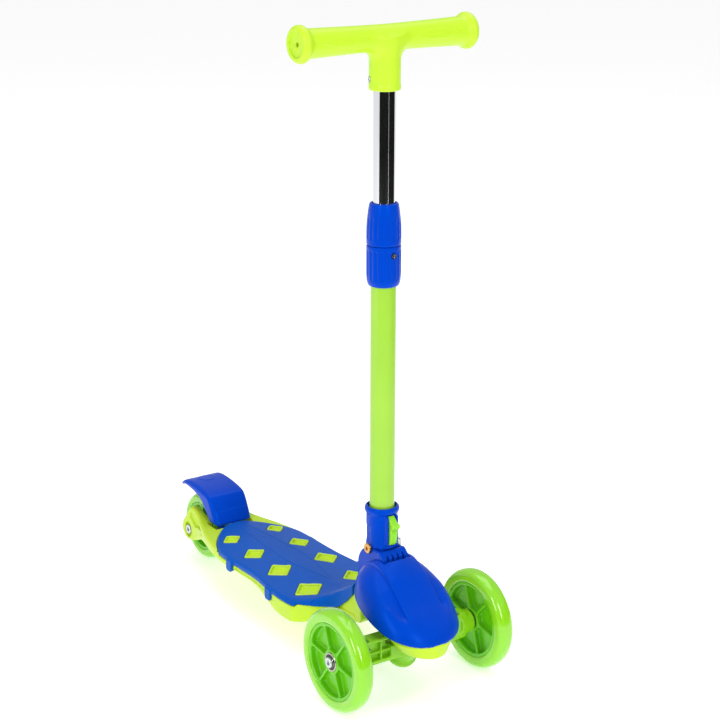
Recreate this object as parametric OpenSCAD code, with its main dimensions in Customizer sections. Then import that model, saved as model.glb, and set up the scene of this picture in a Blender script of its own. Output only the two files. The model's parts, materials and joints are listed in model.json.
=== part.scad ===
// Three-wheeled kick scooter for a small child: lean-to-steer front truck, folding
// stem with a twist-clamp height adjustment, T handlebar and a fender foot brake.
// The rider faces -Y, up is +Z, and the model stands on z = 0.

/* [Overall] */
// Height of the handlebar axis above the ground
bar_height = 745; // [690:1:895]
// Distance of the front axle ahead of the stem axis
axle_lead = 55; // [50:1:60]
// Distance of the rear axle behind the stem axis
axle_trail = 408; // [340:1:490]

/* [Wheels] */
// Diameter of the front tyres
front_wheel_d = 120; // [100:1:124]
// Diameter of the rear tyre
rear_wheel_d = 90; // [75:1:94]
// Distance between the middles of the front tyres
track = 198; // [190:1:240]
// Width of a tyre
tyre_w = 22; // [18:1:26]
// Thickness of the front tyres, tread to rim
front_tyre_t = 14.3; // [10:0.1:18]
// Thickness of the rear tyre, tread to rim
rear_tyre_t = 12; // [9:0.1:15]
// Diameter of the axle bolts
axle_d = 8; // [6:0.5:9.6]
// Outer diameter of a wheel bearing
bearing_d = 22; // [19:0.5:26]
// Width of a wheel bearing
bearing_w = 7; // [5:0.5:8]

/* [Deck] */
// Width of the deck along its middle
deck_w = 124; // [104:1:149]
// How much wider the deck is behind the front wheels than along its middle
deck_flare = 14; // [4:1:20]
// Height of the lower edge of the mat
mat_edge_z = 62; // [58:1:66]
// Height of the crown of the mat
mat_top_z = 75; // [72:1:78]
// Thickness of the mat
mat_t = 3; // [2:0.1:4]
// Height of the green edge strip below the mat
strip_h = 8; // [5:0.5:12]
// Half-diagonal of the rearmost window
window_r = 13.5; // [10:0.5:15]

/* [Hood] */
// Width of the hood over the truck
hood_w = 109; // [96:1:122]
// Height of the hood's front lip
hood_lip_z = 73; // [70:1:78]
// How far the hood swells upwards in front of the stem
hood_swell = 18; // [0:1:22]
// Wall of the hood
hood_wall = 2.6; // [1.8:0.1:3.4]

/* [Truck] */
// Tilt of the king pin from the horizontal, rising forwards
king_tilt = 45; // [40:1:50]
// Diameter of the king pin
king_d = 10; // [8:0.5:12]
// Height of the beam between the front wheels
beam_h = 33; // [26:1:36]
// Depth of the beam, front to back
beam_d = 18; // [15:1:22]

/* [Stem] */
// Diameter of the bright inner tube
inner_tube_d = 25; // [20:0.5:30]
// Wall of the inner tube
inner_wall = 1.2; // [1:0.1:2]
// Length of the bright tube that stays below the middle of the collar
tube_insert = 84; // [60:1:110]
// Wall of the painted lower tube
stem_wall = 1.5; // [1.2:0.1:2]
// Wall of the blue collars around the tubes
collar_wall = 4.9; // [4:0.1:6]
// Height of the lower end of the collar
collar_z = 470; // [430:1:500]
// Height of each half of the collar
collar_h = 47; // [38:1:57]

/* [Folding head] */
// Height of the fold pivot
pivot_z = 158; // [154:1:162]
// Diameter of the fold bolt
fold_bolt_d = 8; // [6:0.5:9.6]
// Wall of the head tube around the stem
head_wall = 3.7; // [3.2:0.1:5]
// Height of the top of the head tube
head_top_z = 211; // [206:1:216]
// Width of the latch lever
latch_w = 9.6; // [7:0.2:10]

/* [Handlebar] */
// Length of the handlebar
bar_length = 227; // [190:1:272]
// Diameter of the grips at their outer ends
grip_d = 33; // [28:0.5:36]
// Diameter of the flanges at the ends of the grips
flange_d = 39.4; // [36:0.2:48]
// Wall of the handlebar's neck around the inner tube
neck_wall = 4.8; // [3.6:0.1:6]
// Length of the neck below the handlebar axis
neck_drop = 57; // [45:1:68]

/* [Fender] */
// Width of the fender brake
fender_w = 56; // [50:1:60]
// Wall of the fender
fender_wall = 2.8; // [2:0.1:3.6]

/* [Hidden] */

$fn = 64;
lime = "#a6e22e";
base_green = "#cdea2f";
deep_green = "#6fd01e";
blue = "#0b46c8";
steel = "#c8ccd0";
black = "#202124";
eps = 0.01;

// Fits
run = 0.05;       // radial clearance of a running fit
seat = 0.02;      // radial clearance of a seated or pressed piece
gap = 0.3;        // face clearance between pieces that only lie close
moving_gap = 0.4; // face clearance between pieces that move past each other

// Places along the scooter, measured from the stem axis
front_y = -axle_lead;
rear_y = axle_trail;
front_r = front_wheel_d / 2;
rear_r = rear_wheel_d / 2;
stem_y = -((front_y - front_r) + (rear_y + rear_r)) / 2;

// Wheels
wheel_x = track / 2;
bearing_r = bearing_d / 2;
axle_r = axle_d / 2;
hub_half = 10;
hub_r = bearing_r + 3;
front_rim_r = front_r - front_tyre_t;
rear_rim_r = rear_r - rear_tyre_t;
inner_hub_x = wheel_x - hub_half;
washer_t = 2;
bolt_head_t = 4.2;
bolt_head_r = axle_r + 2.4;
nut_t = 6;
nut_r = axle_r + 3.2;

// Deck
deck_half = deck_w / 2;
front_half = (deck_w + deck_flare) / 2;
neck_half = 27;
mat_rear_y = rear_y - 74;
crown_r = 350;
crown_drop = mat_t + gap;
strip_z = mat_edge_z - strip_h;
notch_y = 89;
sweep_y = 18;
sweep_z = 110;
pan_z = 44;
// middle of each window: distance from the deck's rear end, and from the centre line
window_back = [46, 105, 167, 234];
window_side = 35.5;
window_grow = 2.35;
clip_back = [90, 191];
// half-width of the mat at each clip
clip_x = [deck_half, (deck_half + 3 * front_half) / 4];

// Rear fork and axle
arm_in = 20.5;
arm_out = 30.5;
arm_top_z = rear_r + 34;

// Steering
king_y = front_y + 3;
king_z = front_r - 10;
king_r = king_d / 2;
king_boss_r = 17;
king_low = -20;
king_high = 16;
seat_low = king_high + moving_gap;
seat_high = 42;
bush_wall = 2;
bush_flange = 1.6;
knuckle_r = 14;
beam_z = front_r;
bridge_z = beam_z + beam_h / 2 + 6;
bridge_half = 23;
bridge_t = 9;
spring_x = 27;
spring_r = 5.5;
spring_wire = 1.2;
spring_well = 14;

// Hood: a rounded plan around hood_mid_y, a rim that rises to the rear, and a low dome
hood_half = hood_w / 2;
hood_mid_y = front_y + 2;
hood_front = 61;
hood_rear = 70;
hood_plan_power = 2.23;
hood_rise = 0.33;
hood_dome = 33;
hood_dome_slope = 0.24;
hood_dome_power = 5;
swell_front_y = -70;
swell_crest_y = -30;
swell_rear_y = 10;
swell_half = 42;

// Fold bracket and head
cheek_t = 5.4;
cheek_inset = 0.22;
lobe_y = -4;
lobe_r = 28;
bracket_low_z = bridge_z + 20 + gap;
fold_r = fold_bolt_d / 2;
tongue_r = 15.5;
inner_r = inner_tube_d / 2;
glide_t = 0.45;
stem_in_r = inner_r + glide_t + run;
stem_r = stem_in_r + stem_wall;
head_r = stem_r + seat + head_wall;
cheek_out = head_r - cheek_inset;
cheek_in = cheek_out - cheek_t;
head_low_z = pivot_z + 1;
tube_low_z = pivot_z + 18;
latch_half = latch_w / 2;
latch_pin_r = 1.25;
latch_pin_y = -head_r - 1.2;
latch_pin_z = pivot_z + 24;
latch_top_z = pivot_z + 44;

// Collar and handlebar
collar_r = stem_r + collar_wall;
collar_mid_z = collar_z + collar_h;
collar_top_z = collar_mid_z + gap + collar_h;
sleeve_r = stem_r + 2;
flute_count = 18;
tube_top_z = bar_height - 12;
inner_len = tube_top_z - collar_mid_z + tube_insert;
neck_r = inner_r + seat + neck_wall;
neck_low_z = bar_height - neck_drop;
bar_half = bar_length / 2;
bar_mid_d = grip_d - 4.5;
end_hole_r = 2.7;
end_hole_depth = 40;

// Fender
fender_half = fender_w / 2;
foot_y = rear_y - 70;
foot_z = mat_top_z - 1.5;
fender_pin_y = foot_y + 15;
fender_pin_z = mat_edge_z - 3;
fender_pin_r = 2;

// --- Small tools -----------------------------------------------------------------

module at_stem() { translate([0, stem_y, 0]) children(); }

function spline_point(a, b, c, d, t) =
    0.5 * ((2 * b) + (c - a) * t + (2 * a - 5 * b + 4 * c - d) * t * t
        + (3 * b - a - 3 * c + d) * t * t * t);

// Smooth curve through the points p, with n steps between two neighbours
function smooth(p, n = 5) = [
    for (i = [0 : len(p) - 2]) for (k = [0 : n - 1])
        spline_point(p[max(i - 1, 0)], p[i], p[i + 1], p[min(i + 2, len(p) - 1)], k / n),
    p[len(p) - 1]];

// Closed outline from its right-hand half
function both_sides(p) = concat(p, [for (i = [len(p) - 1 : -1 : 0]) [-p[i][0], p[i][1]]]);

function arc(c, r, a0, a1, n = 8) =
    [for (i = [0 : n]) let (a = a0 + (a1 - a0) * i / n) c + r * [cos(a), sin(a)]];

// A round bar along X from x0 to x1
module bar_x(x0, x1, r) { translate([x0, 0, 0]) rotate([0, 90, 0]) cylinder(h = x1 - x0, r = r); }

// A ring along X from x0 to x1
module ring_x(x0, x1, r_out, r_in) {
    difference() {
        bar_x(x0, x1, r_out);
        bar_x(x0 - 1, x1 + 1, r_in);
    }
}

// A profile drawn in (y, z) and given a width from x0 to x1
module side_plate(x0, x1) {
    translate([x0, 0, 0]) rotate([90, 0, 90]) linear_extrude(height = x1 - x0) children();
}

// Children repeated on both sides of the centre plane
module pair() {
    children();
    mirror([1, 0, 0]) children();
}

// The king pin's own frame: z runs along the pin, up and forwards
module king_frame() {
    translate([0, king_y, king_z]) rotate([90 - king_tilt, 0, 0]) children();
}

// A coil spring along Z: r is its mean radius, with open turns of round wire
module coil(r, wire, height, turns, sides = 6, steps = 12) {
    n = turns * steps;
    rise = (height - wire) / n;
    points = [for (i = [0 : n]) for (k = [0 : sides - 1])
        let (a = 360 * i / steps, b = 360 * k / sides, q = r + wire / 2 * cos(b))
        [q * cos(a), q * sin(a), wire / 2 + i * rise + wire / 2 * sin(b)]];
    function at(i, k) = i * sides + (k % sides);
    polyhedron(points = points, faces = concat(
        [[for (k = [0 : sides - 1]) k], [for (k = [sides - 1 : -1 : 0]) at(n, k)]],
        [for (i = [0 : n - 1]) for (k = [0 : sides - 1])
            each [[at(i, k), at(i + 1, k), at(i + 1, k + 1)],
                [at(i, k), at(i + 1, k + 1), at(i, k + 1)]]]));
}

module hex(r, h) { cylinder(h = h, r = r, $fn = 6); }

// --- Deck ------------------------------------------------------------------------

// Plan of the mat, grown by g on every side
function mat_half(g) = concat(
    smooth([[0, mat_rear_y + g], [18, mat_rear_y - 2 + g], [41 + g, mat_rear_y - 24 + g],
        [deck_half - 4 + g, mat_rear_y - 52], [deck_half + g, mat_rear_y - 82]]),
    smooth([[deck_half + g, 190], [(deck_half + front_half) / 2 + g, 158],
        [front_half + g, 128], [front_half + g, 104], [front_half - 2 + g, notch_y - g]], 4),
    smooth([[front_half - 18 + g, 71 - g], [neck_half + 8 + g, 58 - g], [neck_half + 1 + g, 45],
        [neck_half + g, 30], [neck_half + g, sweep_y - g]], 4));

module mat_plan(g = 0) { polygon(both_sides(mat_half(g))); }

// Side view of the deck's upper surface, lowered by d, as a closed profile
module top_profile(d = 0) {
    polygon(concat(smooth([[sweep_y - 3, sweep_z - d], [32, sweep_z - 10 - d], [50, 88 - d],
        [72, mat_top_z + 3.5 - d], [100, mat_top_z - d]]),
        [[mat_rear_y + 12, mat_top_z - d], [mat_rear_y + 12, 20], [sweep_y - 3, 20]]));
}

// The deck's body below its crowned, upswept surface
module deck_form(g, d) {
    intersection() {
        linear_extrude(height = 130) mat_plan(g);
        side_plate(-80, 80) top_profile(d);
        translate([0, 0, mat_top_z - d]) union() {
            translate([0, 80, -crown_r]) rotate([-90, 0, 0])
                cylinder(h = mat_rear_y - 40, r = crown_r, $fn = 360);
            translate([-80, -10, -60]) cube([160, 90 + eps, 120]);
        }
    }
}

// One window's diamond, a fixed distance g larger than its opening
module diamond(r, g = 0) {
    rotate(45) square((r + g) * sqrt(2), center = true);
}

module windows(g, z0, z1) {
    for (i = [0 : 3]) for (s = [-1, 1])
        translate([s * window_side, mat_rear_y - window_back[i], z0])
            linear_extrude(height = z1 - z0) diamond(window_r + i * window_grow, g);
}

module deck_mat() {
    color(blue) at_stem() {
        difference() {
            intersection() {
                deck_form(0, 0);
                translate([-90, 0, mat_edge_z]) cube([180, 420, 120]);
            }
            deck_form(-mat_t, mat_t);
            windows(0, mat_edge_z - 1, mat_top_z + 10);
            translate([-90, sweep_y - 6, mat_edge_z - 1]) cube([180, 6 + mat_t, 100]);
            bracket_room();
        }
        // side clips that hook under the base
        for (i = [0, 1]) pair() translate([clip_x[i], mat_rear_y - clip_back[i], 0]) {
            translate([-1, -5, strip_z - 2]) cube([3.2, 10, mat_edge_z - strip_z + 5]);
            translate([-4, -5, strip_z - 2]) cube([4, 10, 2 - gap]);
        }
    }
}

// Plan of the base: the mat's plan drawn in by 1 mm, and the shoulders of the rear fork
module base_plan() {
    mat_plan(-1);
    polygon(both_sides(smooth([[arm_out, rear_y - 18], [arm_out + 4, rear_y - 34],
        [46, rear_y - 54], [deck_half - 5, rear_y - 88], [deck_half - 1, rear_y - 128],
        [deck_half - 1, rear_y - 150]])));
}

// Underside of the base in side view: flat, then a deeper pan behind the front wheels
module lower_profile() {
    polygon(concat([[rear_y, mat_edge_z - gap], [rear_y, strip_z]],
        smooth([[170, strip_z], [145, strip_z - 2], [122, pan_z + 1], [100, pan_z],
            [70, pan_z + 3], [40, 50], [sweep_y - 3, 56]]),
        [[sweep_y - 3, mat_edge_z - gap]]));
}

module fork_profile() {
    start_y = mat_rear_y + gap;
    polygon(concat([[start_y, strip_z], [start_y, mat_top_z - 6]],
        smooth([[rear_y - 60, mat_top_z - 6], [rear_y - 46, mat_top_z - 3.5],
            [rear_y - 18, arm_top_z - 1],
            [rear_y - 8, arm_top_z - 1], [rear_y + 6, rear_r + 20]], 4),
        arc([rear_y + 2, rear_r], 15, 50, -120, 8),
        smooth([[rear_y - 22, rear_r - 8], [rear_y - 50, strip_z - 6],
            [rear_y - 70, strip_z]], 4)));
}

// The two arms beside the rear wheel, and the shoulders that lead into them
module fork() {
    intersection() {
        linear_extrude(height = 130) difference() {
            base_plan();
            mat_plan(gap);
        }
        translate([-80, rear_y - 150, strip_z]) cube([160, 150, mat_top_z - 3 - strip_z]);
    }
    pair() side_plate(arm_in, arm_out) fork_profile();
}

// What is cut from the rear of the base
module fork_room() {
    wheel_room_y = rear_y - rear_r - 6;
    // room for the wheel and for the fender's foot
    translate([-arm_in, wheel_room_y, 0]) cube([2 * arm_in, 130, 130]);
    translate([-fender_half - moving_gap, foot_y - 1, mat_edge_z - 9])
        cube([fender_w + 2 * moving_gap, wheel_room_y - foot_y + 2, 60]);
    // hollows in the sides of the arms
    pair() side_plate(arm_out - 3, arm_out + 1)
        polygon([[rear_y - 16, rear_r + 27], [rear_y - 6, rear_r + 20],
            [rear_y - 26, rear_r + 9], [rear_y - 44, rear_r + 19]]);
    // axle holes and their pockets
    translate([0, rear_y, rear_r]) {
        bar_x(-60, 60, axle_r + seat);
        pair() bar_x(arm_out - bolt_head_t, arm_out + 9, nut_r + 0.8);
    }
    translate([0, fender_pin_y, fender_pin_z]) bar_x(-60, 60, fender_pin_r + seat);
}

// The nose below the hood, the bridge over the truck, and the king pin's seat
module nose() {
    nose_tip_y = hood_mid_y - hood_front + 3;
    difference() {
        union() {
            difference() {
                hull() {
                    translate([0, nose_tip_y + 33, hood_lip_z - 17]) linear_extrude(height = 1)
                        scale([1, 1.35]) circle(r = 23, $fn = 32);
                    translate([0, nose_tip_y + 37, hood_lip_z + 4]) linear_extrude(height = 1)
                        circle(r = 36, $fn = 32);
                }
                king_frame() translate([0, 0, king_low - 30])
                    cylinder(h = 30 - king_low + seat_low, r = 46);
                translate([-90, front_y - beam_d / 2 - 6, 0]) cube([180, 140, bridge_z]);
            }
            translate([-bridge_half, nose_tip_y + 30, bridge_z])
                cube([2 * bridge_half, sweep_y + 12 - nose_tip_y - 30, bridge_t]);
            intersection() {
                king_frame() translate([0, 0, seat_low]) cylinder(h = seat_high - seat_low, r = 16);
                translate([-90, -200, 0]) cube([180, 200, bridge_z + 18]);
            }
            // seats of the centring springs
            pair() translate([spring_x, front_y, bridge_z])
                cylinder(h = bridge_t, r = spring_r + 2.5);
        }
        king_frame() {
            translate([0, 0, king_low]) cylinder(h = 100, r = king_r + seat);
            translate([0, 0, seat_high]) cylinder(h = 40, r = 10.5);
        }
        hood_screw_places() translate([0, 0, -60]) cylinder(h = 100, r = 2.2);
        hood_screw_places() translate([0, 0, -60]) cylinder(h = 52, r = 4.2);
    }
}

// The neck that joins the deck to the bridge, inside the mat's upswept front
module neck() {
    neck_in = neck_half - mat_t - gap;
    translate([-neck_in, -28, bridge_z]) cube([2 * neck_in, sweep_y + 30, 20]);
    side_plate(-neck_in, neck_in) polygon([[sweep_y - 10, bridge_z],
        [sweep_y - 10, 58], [sweep_y + 6, 55], [60, 50], [60, 76], [46, 84],
        [sweep_y + 8, bridge_z + 17], [sweep_y - 10, bridge_z + 20]]);
}

// Space that the foot of the fold bracket takes
module bracket_room() {
    translate([-cheek_out - moving_gap, -60, bracket_low_z - gap])
        cube([2 * (cheek_out + moving_gap), 60 + lobe_y + lobe_r + moving_gap, 90]);
}

module deck_base() {
    rib_pitch = (deck_w - 26) / 3;
    rib_rows = 5;
    rib_step = (mat_rear_y - 160) / rib_rows;
    color(base_green) at_stem() {
        difference() {
            union() {
                intersection() {
                    deck_form(-mat_t - gap, crown_drop);
                    translate([-90, 0, mat_edge_z - 1]) cube([180, 420, 120]);
                }
                intersection() {
                    linear_extrude(height = 130) base_plan();
                    side_plate(-90, 90) lower_profile();
                }
                fork();
                neck();
                nose();
                intersection() {
                    windows(-gap, mat_edge_z, mat_top_z + 3);
                    deck_form(-mat_t, -1.2);
                }
            }
            // recessed middles of the window frames
            intersection() {
                windows(-3.2, mat_top_z - 8, mat_top_z + 4);
                translate([-90, 80, mat_top_z - 4.6]) cube([180, 300, 20]);
            }
            bracket_room();
            bracket_screw_places() translate([0, 0, -30]) cylinder(h = 90, r = 2.2);
            fork_room();
            // hollows of the underside, with ribs left between them
            for (i = [0 : rib_rows - 1]) for (k = [-1 : 1])
                translate([k * rib_pitch - rib_pitch / 2 + 1.2, 130 + i * rib_step, strip_z - 1])
                    cube([rib_pitch - 2.4, rib_step - 2.4, 9]);
            for (i = [0, 1]) pair()
                translate([clip_x[i] - 4.5, mat_rear_y - clip_back[i] - 5.5, 40])
                    cube([20, 11, mat_edge_z - 40 + gap]);
        }
        // tabs that the side clips hook around
        for (i = [0, 1]) pair()
            translate([clip_x[i] - 12, mat_rear_y - clip_back[i] - 5.5, strip_z])
                cube([10.7, 11, strip_h - gap]);
    }
}

// --- Hood ------------------------------------------------------------------------

function signed_pow(v, p) = sign(v) * pow(abs(v), p);

// Rises smoothly from 0 to 1 as t goes from 0 to 1
function ease(t) = let (u = min(max(t, 0), 1)) u * u * (3 - 2 * u);

// A point of the hood: a is the angle around it, r runs from 0 on top to 1 at its rim,
// and d is how far the surface is drawn inwards
function hood_point(a, r, d = 0) =
    let (
        side = signed_pow(cos(a), 2 / hood_plan_power),
        along = signed_pow(sin(a), 2 / hood_plan_power),
        reach = (along < 0 ? hood_front : hood_rear) - d,
        x = (hood_half - d) * side * r,
        y = hood_mid_y + reach * along * r,
        rim = hood_lip_z + hood_rise * max(0, y - hood_mid_y + hood_front),
        dome = hood_dome - hood_dome_slope * max(0, hood_mid_y - y),
        top = dome * sqrt(max(0, 1 - pow(r, hood_dome_power))),
        swell = hood_swell * ease((y - swell_front_y) / (swell_crest_y - swell_front_y))
            * ease((swell_rear_y - y) / (swell_rear_y - swell_crest_y))
            * max(0, 1 - pow(x / swell_half, 2)))
    [x, y, rim + top + swell - (r < 0.999 ? d : 0)];

module hood_shell() {
    turns = 40;
    rings = [0.2, 0.42, 0.6, 0.74, 0.85, 0.92, 0.965, 0.99, 1];
    n = len(rings);
    skin = [for (d = [0, hood_wall]) concat([hood_point(0, 0, d)],
        [for (r = rings) for (i = [0 : turns - 1]) hood_point(360 * i / turns, r, d)])];
    size = 1 + n * turns;
    function at(s, k, i) = s * size + 1 + k * turns + (i % turns);
    caps = [for (s = [0, 1]) for (i = [0 : turns - 1])
        s == 0 ? [0, at(0, 0, i + 1), at(0, 0, i)] : [size, at(1, 0, i), at(1, 0, i + 1)]];
    bands = [for (s = [0, 1]) for (k = [0 : n - 2]) for (i = [0 : turns - 1])
        let (p = at(s, k, i), q = at(s, k, i + 1), u = at(s, k + 1, i), v = at(s, k + 1, i + 1))
        each (s == 0 ? [[p, q, v], [p, v, u]] : [[p, v, q], [p, u, v]])];
    rim = [for (i = [0 : turns - 1])
        let (p = at(0, n - 1, i), q = at(0, n - 1, i + 1),
            u = at(1, n - 1, i), v = at(1, n - 1, i + 1))
        each [[p, q, v], [p, v, u]]];
    polyhedron(points = concat(skin[0], skin[1]), faces = concat(caps, bands, rim));
}

// Two screws rise through the nose into bosses on the hood's inner side
module hood_screw_places() {
    pair() translate([19, hood_mid_y - 39, hood_lip_z + 5]) children();
}

module hood() {
    color(blue) at_stem() difference() {
        union() {
            hood_shell();
            hood_screw_places() translate([0, 0, seat]) cylinder(h = 20, r = 3.4);
        }
        hood_screw_places() translate([0, 0, -1]) cylinder(h = 18, r = 1.8);
        // the fold bracket stands in a notch that is open to the rear
        translate([-cheek_out - gap - 0.4, -head_r - 13, 60])
            cube([2 * (cheek_out + gap + 0.4), 100, 130]);
    }
}

// --- Fold bracket ----------------------------------------------------------------

bracket_front_y = -head_r - 12;

module bracket_screw_places() {
    for (x = [-7, 7]) for (y = [-17, 9]) translate([x, y, bracket_low_z]) children();
}

module fold_bracket() {
    lobe_c = [lobe_y, pivot_z - 27];
    color(blue) at_stem() difference() {
        union() {
            // two cheeks beside the tongue of the head
            pair() side_plate(cheek_in, cheek_out) polygon(concat(
                arc(lobe_c, lobe_r, 0, 84, 12),
                [[-10, pivot_z + 0.5], [-head_r - 0.5, pivot_z + 0.5],
                    [bracket_front_y + 2, bracket_low_z + 26],
                    [bracket_front_y + 2, bracket_low_z], [lobe_c[0] + lobe_r, bracket_low_z]]));
            // foot plate and ribbed front wall
            translate([-cheek_out, bracket_front_y + 2, bracket_low_z])
                cube([2 * cheek_out, lobe_c[0] + lobe_r - 2 - bracket_front_y, 7]);
            side_plate(-cheek_out, cheek_out) polygon([
                [-head_r - 3.5, pivot_z + 0.5], [-head_r, pivot_z + 0.5],
                [-tongue_r - 1.5, bracket_low_z + 6], [bracket_front_y + 3, bracket_low_z + 6],
                [bracket_front_y + 3, bracket_low_z + 22]]);
        }
        // slots between the ribs
        for (x = [-10.5, -3.5, 3.5, 10.5])
            translate([x - 1.6, bracket_front_y - 1, bracket_low_z + 16])
                cube([3.2, 8, pivot_z - bracket_low_z - 22]);
        translate([0, 0, pivot_z]) bar_x(-60, 60, fold_r + seat);
        bracket_screw_places() {
            translate([0, 0, -1]) cylinder(h = 12, r = 2.2);
            translate([0, 0, 7]) cylinder(h = 16, r = 4.2);
        }
        side_plate(-90, 90) polygon(concat(arc([0, pivot_z], 30, 0, 90, 8),
            [[1, pivot_z + 30], [1, pivot_z - 1.5]]));
    }
}

// A pan-head screw pointing down from the origin
module screw(r, length, head_r, head_h) {
    translate([0, 0, -length]) cylinder(h = length, r = r);
    difference() {
        cylinder(h = head_h, r = head_r);
        translate([0, 0, head_h - 1.2]) hex(head_r * 0.45, 2);
    }
}

module bracket_screws() {
    color(steel) at_stem() bracket_screw_places()
        translate([0, 0, 7]) screw(2.15, 24, 3.8, 2.4);
}

module hood_screws() {
    color(steel) at_stem() hood_screw_places() translate([0, 0, -8 - gap])
        rotate([180, 0, 0]) screw(1.7, 20, 3.8, 2.2);
}

// --- King pin and truck ----------------------------------------------------------

module king_pin() {
    color(steel) at_stem() king_frame() {
        translate([0, 0, king_low - bush_flange - gap]) {
            cylinder(h = seat_high + 9 - king_low, r = king_r);
            translate([0, 0, -6.4]) hex(9, 6.4);
        }
    }
}

module king_nut() {
    color(steel) at_stem() king_frame() translate([0, 0, seat_high + gap]) difference() {
        hex(9, 7.5);
        translate([0, 0, -1]) cylinder(h = 10, r = king_r + seat);
    }
}

// Plain flanged bushes pressed into both ends of the truck's boss
module king_bushes() {
    color("#e8e6dc") at_stem() king_frame() difference() {
        union() {
            translate([0, 0, king_low - bush_flange]) cylinder(h = bush_flange, r = 11);
            translate([0, 0, king_low]) cylinder(h = 14, r = king_r + run + bush_wall);
            translate([0, 0, king_high - 14]) cylinder(h = 14, r = king_r + run + bush_wall);
        }
        translate([0, 0, king_low - 5]) cylinder(h = 60, r = king_r + run);
    }
}

module centring_spring(side) {
    low = beam_z + beam_h / 2 - spring_well + gap;
    color(steel) at_stem() translate([side * spring_x, front_y, low])
        coil(spring_r - spring_wire / 2, spring_wire, bridge_z - gap - low, 4);
}
module centring_spring_left() { centring_spring(1); }
module centring_spring_right() { centring_spring(-1); }

module truck_beam() {
    reach = inner_hub_x - washer_t - gap;
    color(lime) at_stem() difference() {
        union() {
            translate([-reach + 8, front_y - beam_d / 2, beam_z - beam_h / 2])
                cube([2 * reach - 16, beam_d, beam_h]);
            translate([0, front_y, beam_z]) pair() bar_x(reach - 18, reach, knuckle_r);
            king_frame() translate([0, 0, king_low])
                cylinder(h = king_high - king_low, r = king_boss_r);
            king_frame() translate([0, 0, king_low]) cylinder(h = 6, r = king_boss_r + 3);
        }
        // long grooves in the front face, with cross ribs left between them
        for (z = [-9.5, 1.5]) for (x = [-62, -41, 25, 46])
            translate([x, front_y - beam_d / 2 - 1, beam_z + z]) cube([17, 8, 8]);
        // the seat on the nose
        king_frame() {
            translate([0, 0, king_high]) cylinder(h = 60, r = 19);
            translate([0, 0, king_low - 1]) cylinder(h = 80, r = king_r + run + bush_wall + seat);
        }
        // wells of the centring springs
        pair() translate([spring_x, front_y, beam_z + beam_h / 2 - spring_well])
            cylinder(h = 40, r = spring_r + 1.2);
        // axle bolts, and the pockets of their nuts behind the knuckles
        translate([0, front_y, beam_z]) pair() {
            bar_x(reach - 40, reach + 1, axle_r + seat);
            translate([reach - 26, -nut_r - 0.2, -nut_r - 0.2]) cube([7, 2 * nut_r + 0.4, 40]);
        }
    }
}

module front_axle_bolts() {
    color(steel) at_stem() translate([0, front_y, beam_z]) pair() difference() {
        union() {
            bar_x(inner_hub_x - washer_t - gap - 32, wheel_x + hub_half + gap, axle_r);
            bar_x(wheel_x + hub_half + gap, wheel_x + hub_half + 3.2, bolt_head_r);
        }
        bar_x(wheel_x + hub_half + 1.4, wheel_x + hub_half + 6, 2.6);
    }
}

module front_axle_nuts() {
    color(steel) at_stem() translate([0, front_y, beam_z]) pair()
        translate([inner_hub_x - washer_t - gap - 25.7, 0, 0]) rotate([0, 90, 0]) difference() {
            hex(nut_r, nut_t);
            translate([0, 0, -1]) cylinder(h = nut_t + 2, r = axle_r + seat);
        }
}

module front_washers() {
    color(black) at_stem() translate([0, front_y, beam_z]) pair()
        ring_x(inner_hub_x - washer_t, inner_hub_x - gap, 12, axle_r + seat);
}

// --- Wheels ----------------------------------------------------------------------

// All wheel pieces are drawn around the X axis with their middle at x = 0
module tyre(r_out, r_in) {
    half = tyre_w / 2;
    crown = 8;
    rotate([0, 90, 0]) rotate_extrude($fn = 120) polygon(concat(
        [[r_in, -half + 1.5], [r_in + 1.5, -half]],
        [[r_out - crown - 1, -half]],
        smooth([[r_out - crown, -half], [r_out - crown * 0.42, -half * 0.86],
            [r_out - crown * 0.1, -half * 0.5], [r_out, 0], [r_out - crown * 0.1, half * 0.5],
            [r_out - crown * 0.42, half * 0.86], [r_out - crown, half]], 4),
        [[r_out - crown - 1, half], [r_in + 1.5, half], [r_in, half - 1.5]]));
}

module wheel_core(r_rim, spokes) {
    rim_half = tyre_w / 2 - 1.5;
    spoke_in = hub_r - 1;
    spoke_out = r_rim - 3;
    difference() {
        union() {
            ring_x(-rim_half, rim_half, r_rim - seat, r_rim - 4);
            ring_x(-1.5, 1.5, r_rim - 2, hub_r - 1);
            bar_x(-hub_half, hub_half, hub_r);
            for (i = [0 : spokes - 1]) rotate([i * 360 / spokes, 0, 0])
                translate([-rim_half + 1.5, -1.6, spoke_in])
                    cube([2 * rim_half - 3, 3.2, spoke_out - spoke_in]);
        }
        bar_x(-hub_half - 1, hub_half + 1, axle_r + 3);
        pair() bar_x(hub_half - bearing_w - seat, hub_half + 1, bearing_r + seat);
    }
}

module bearings() {
    pair() translate([hub_half - bearing_w, 0, 0]) difference() {
        ring_x(0, bearing_w, bearing_r, axle_r + run);
        ring_x(bearing_w - 0.6, bearing_w + 1, bearing_r - 2, axle_r + 2);
        ring_x(-1, 0.6, bearing_r - 2, axle_r + 2);
    }
}

module sleeve() {
    ring_x(-hub_half + bearing_w + seat, hub_half - bearing_w - seat, axle_r + 2.2, axle_r + run);
}

module at_front(side) { at_stem() translate([side * wheel_x, front_y, front_r]) children(); }
module at_rear() { at_stem() translate([0, rear_y, rear_r]) children(); }

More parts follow.
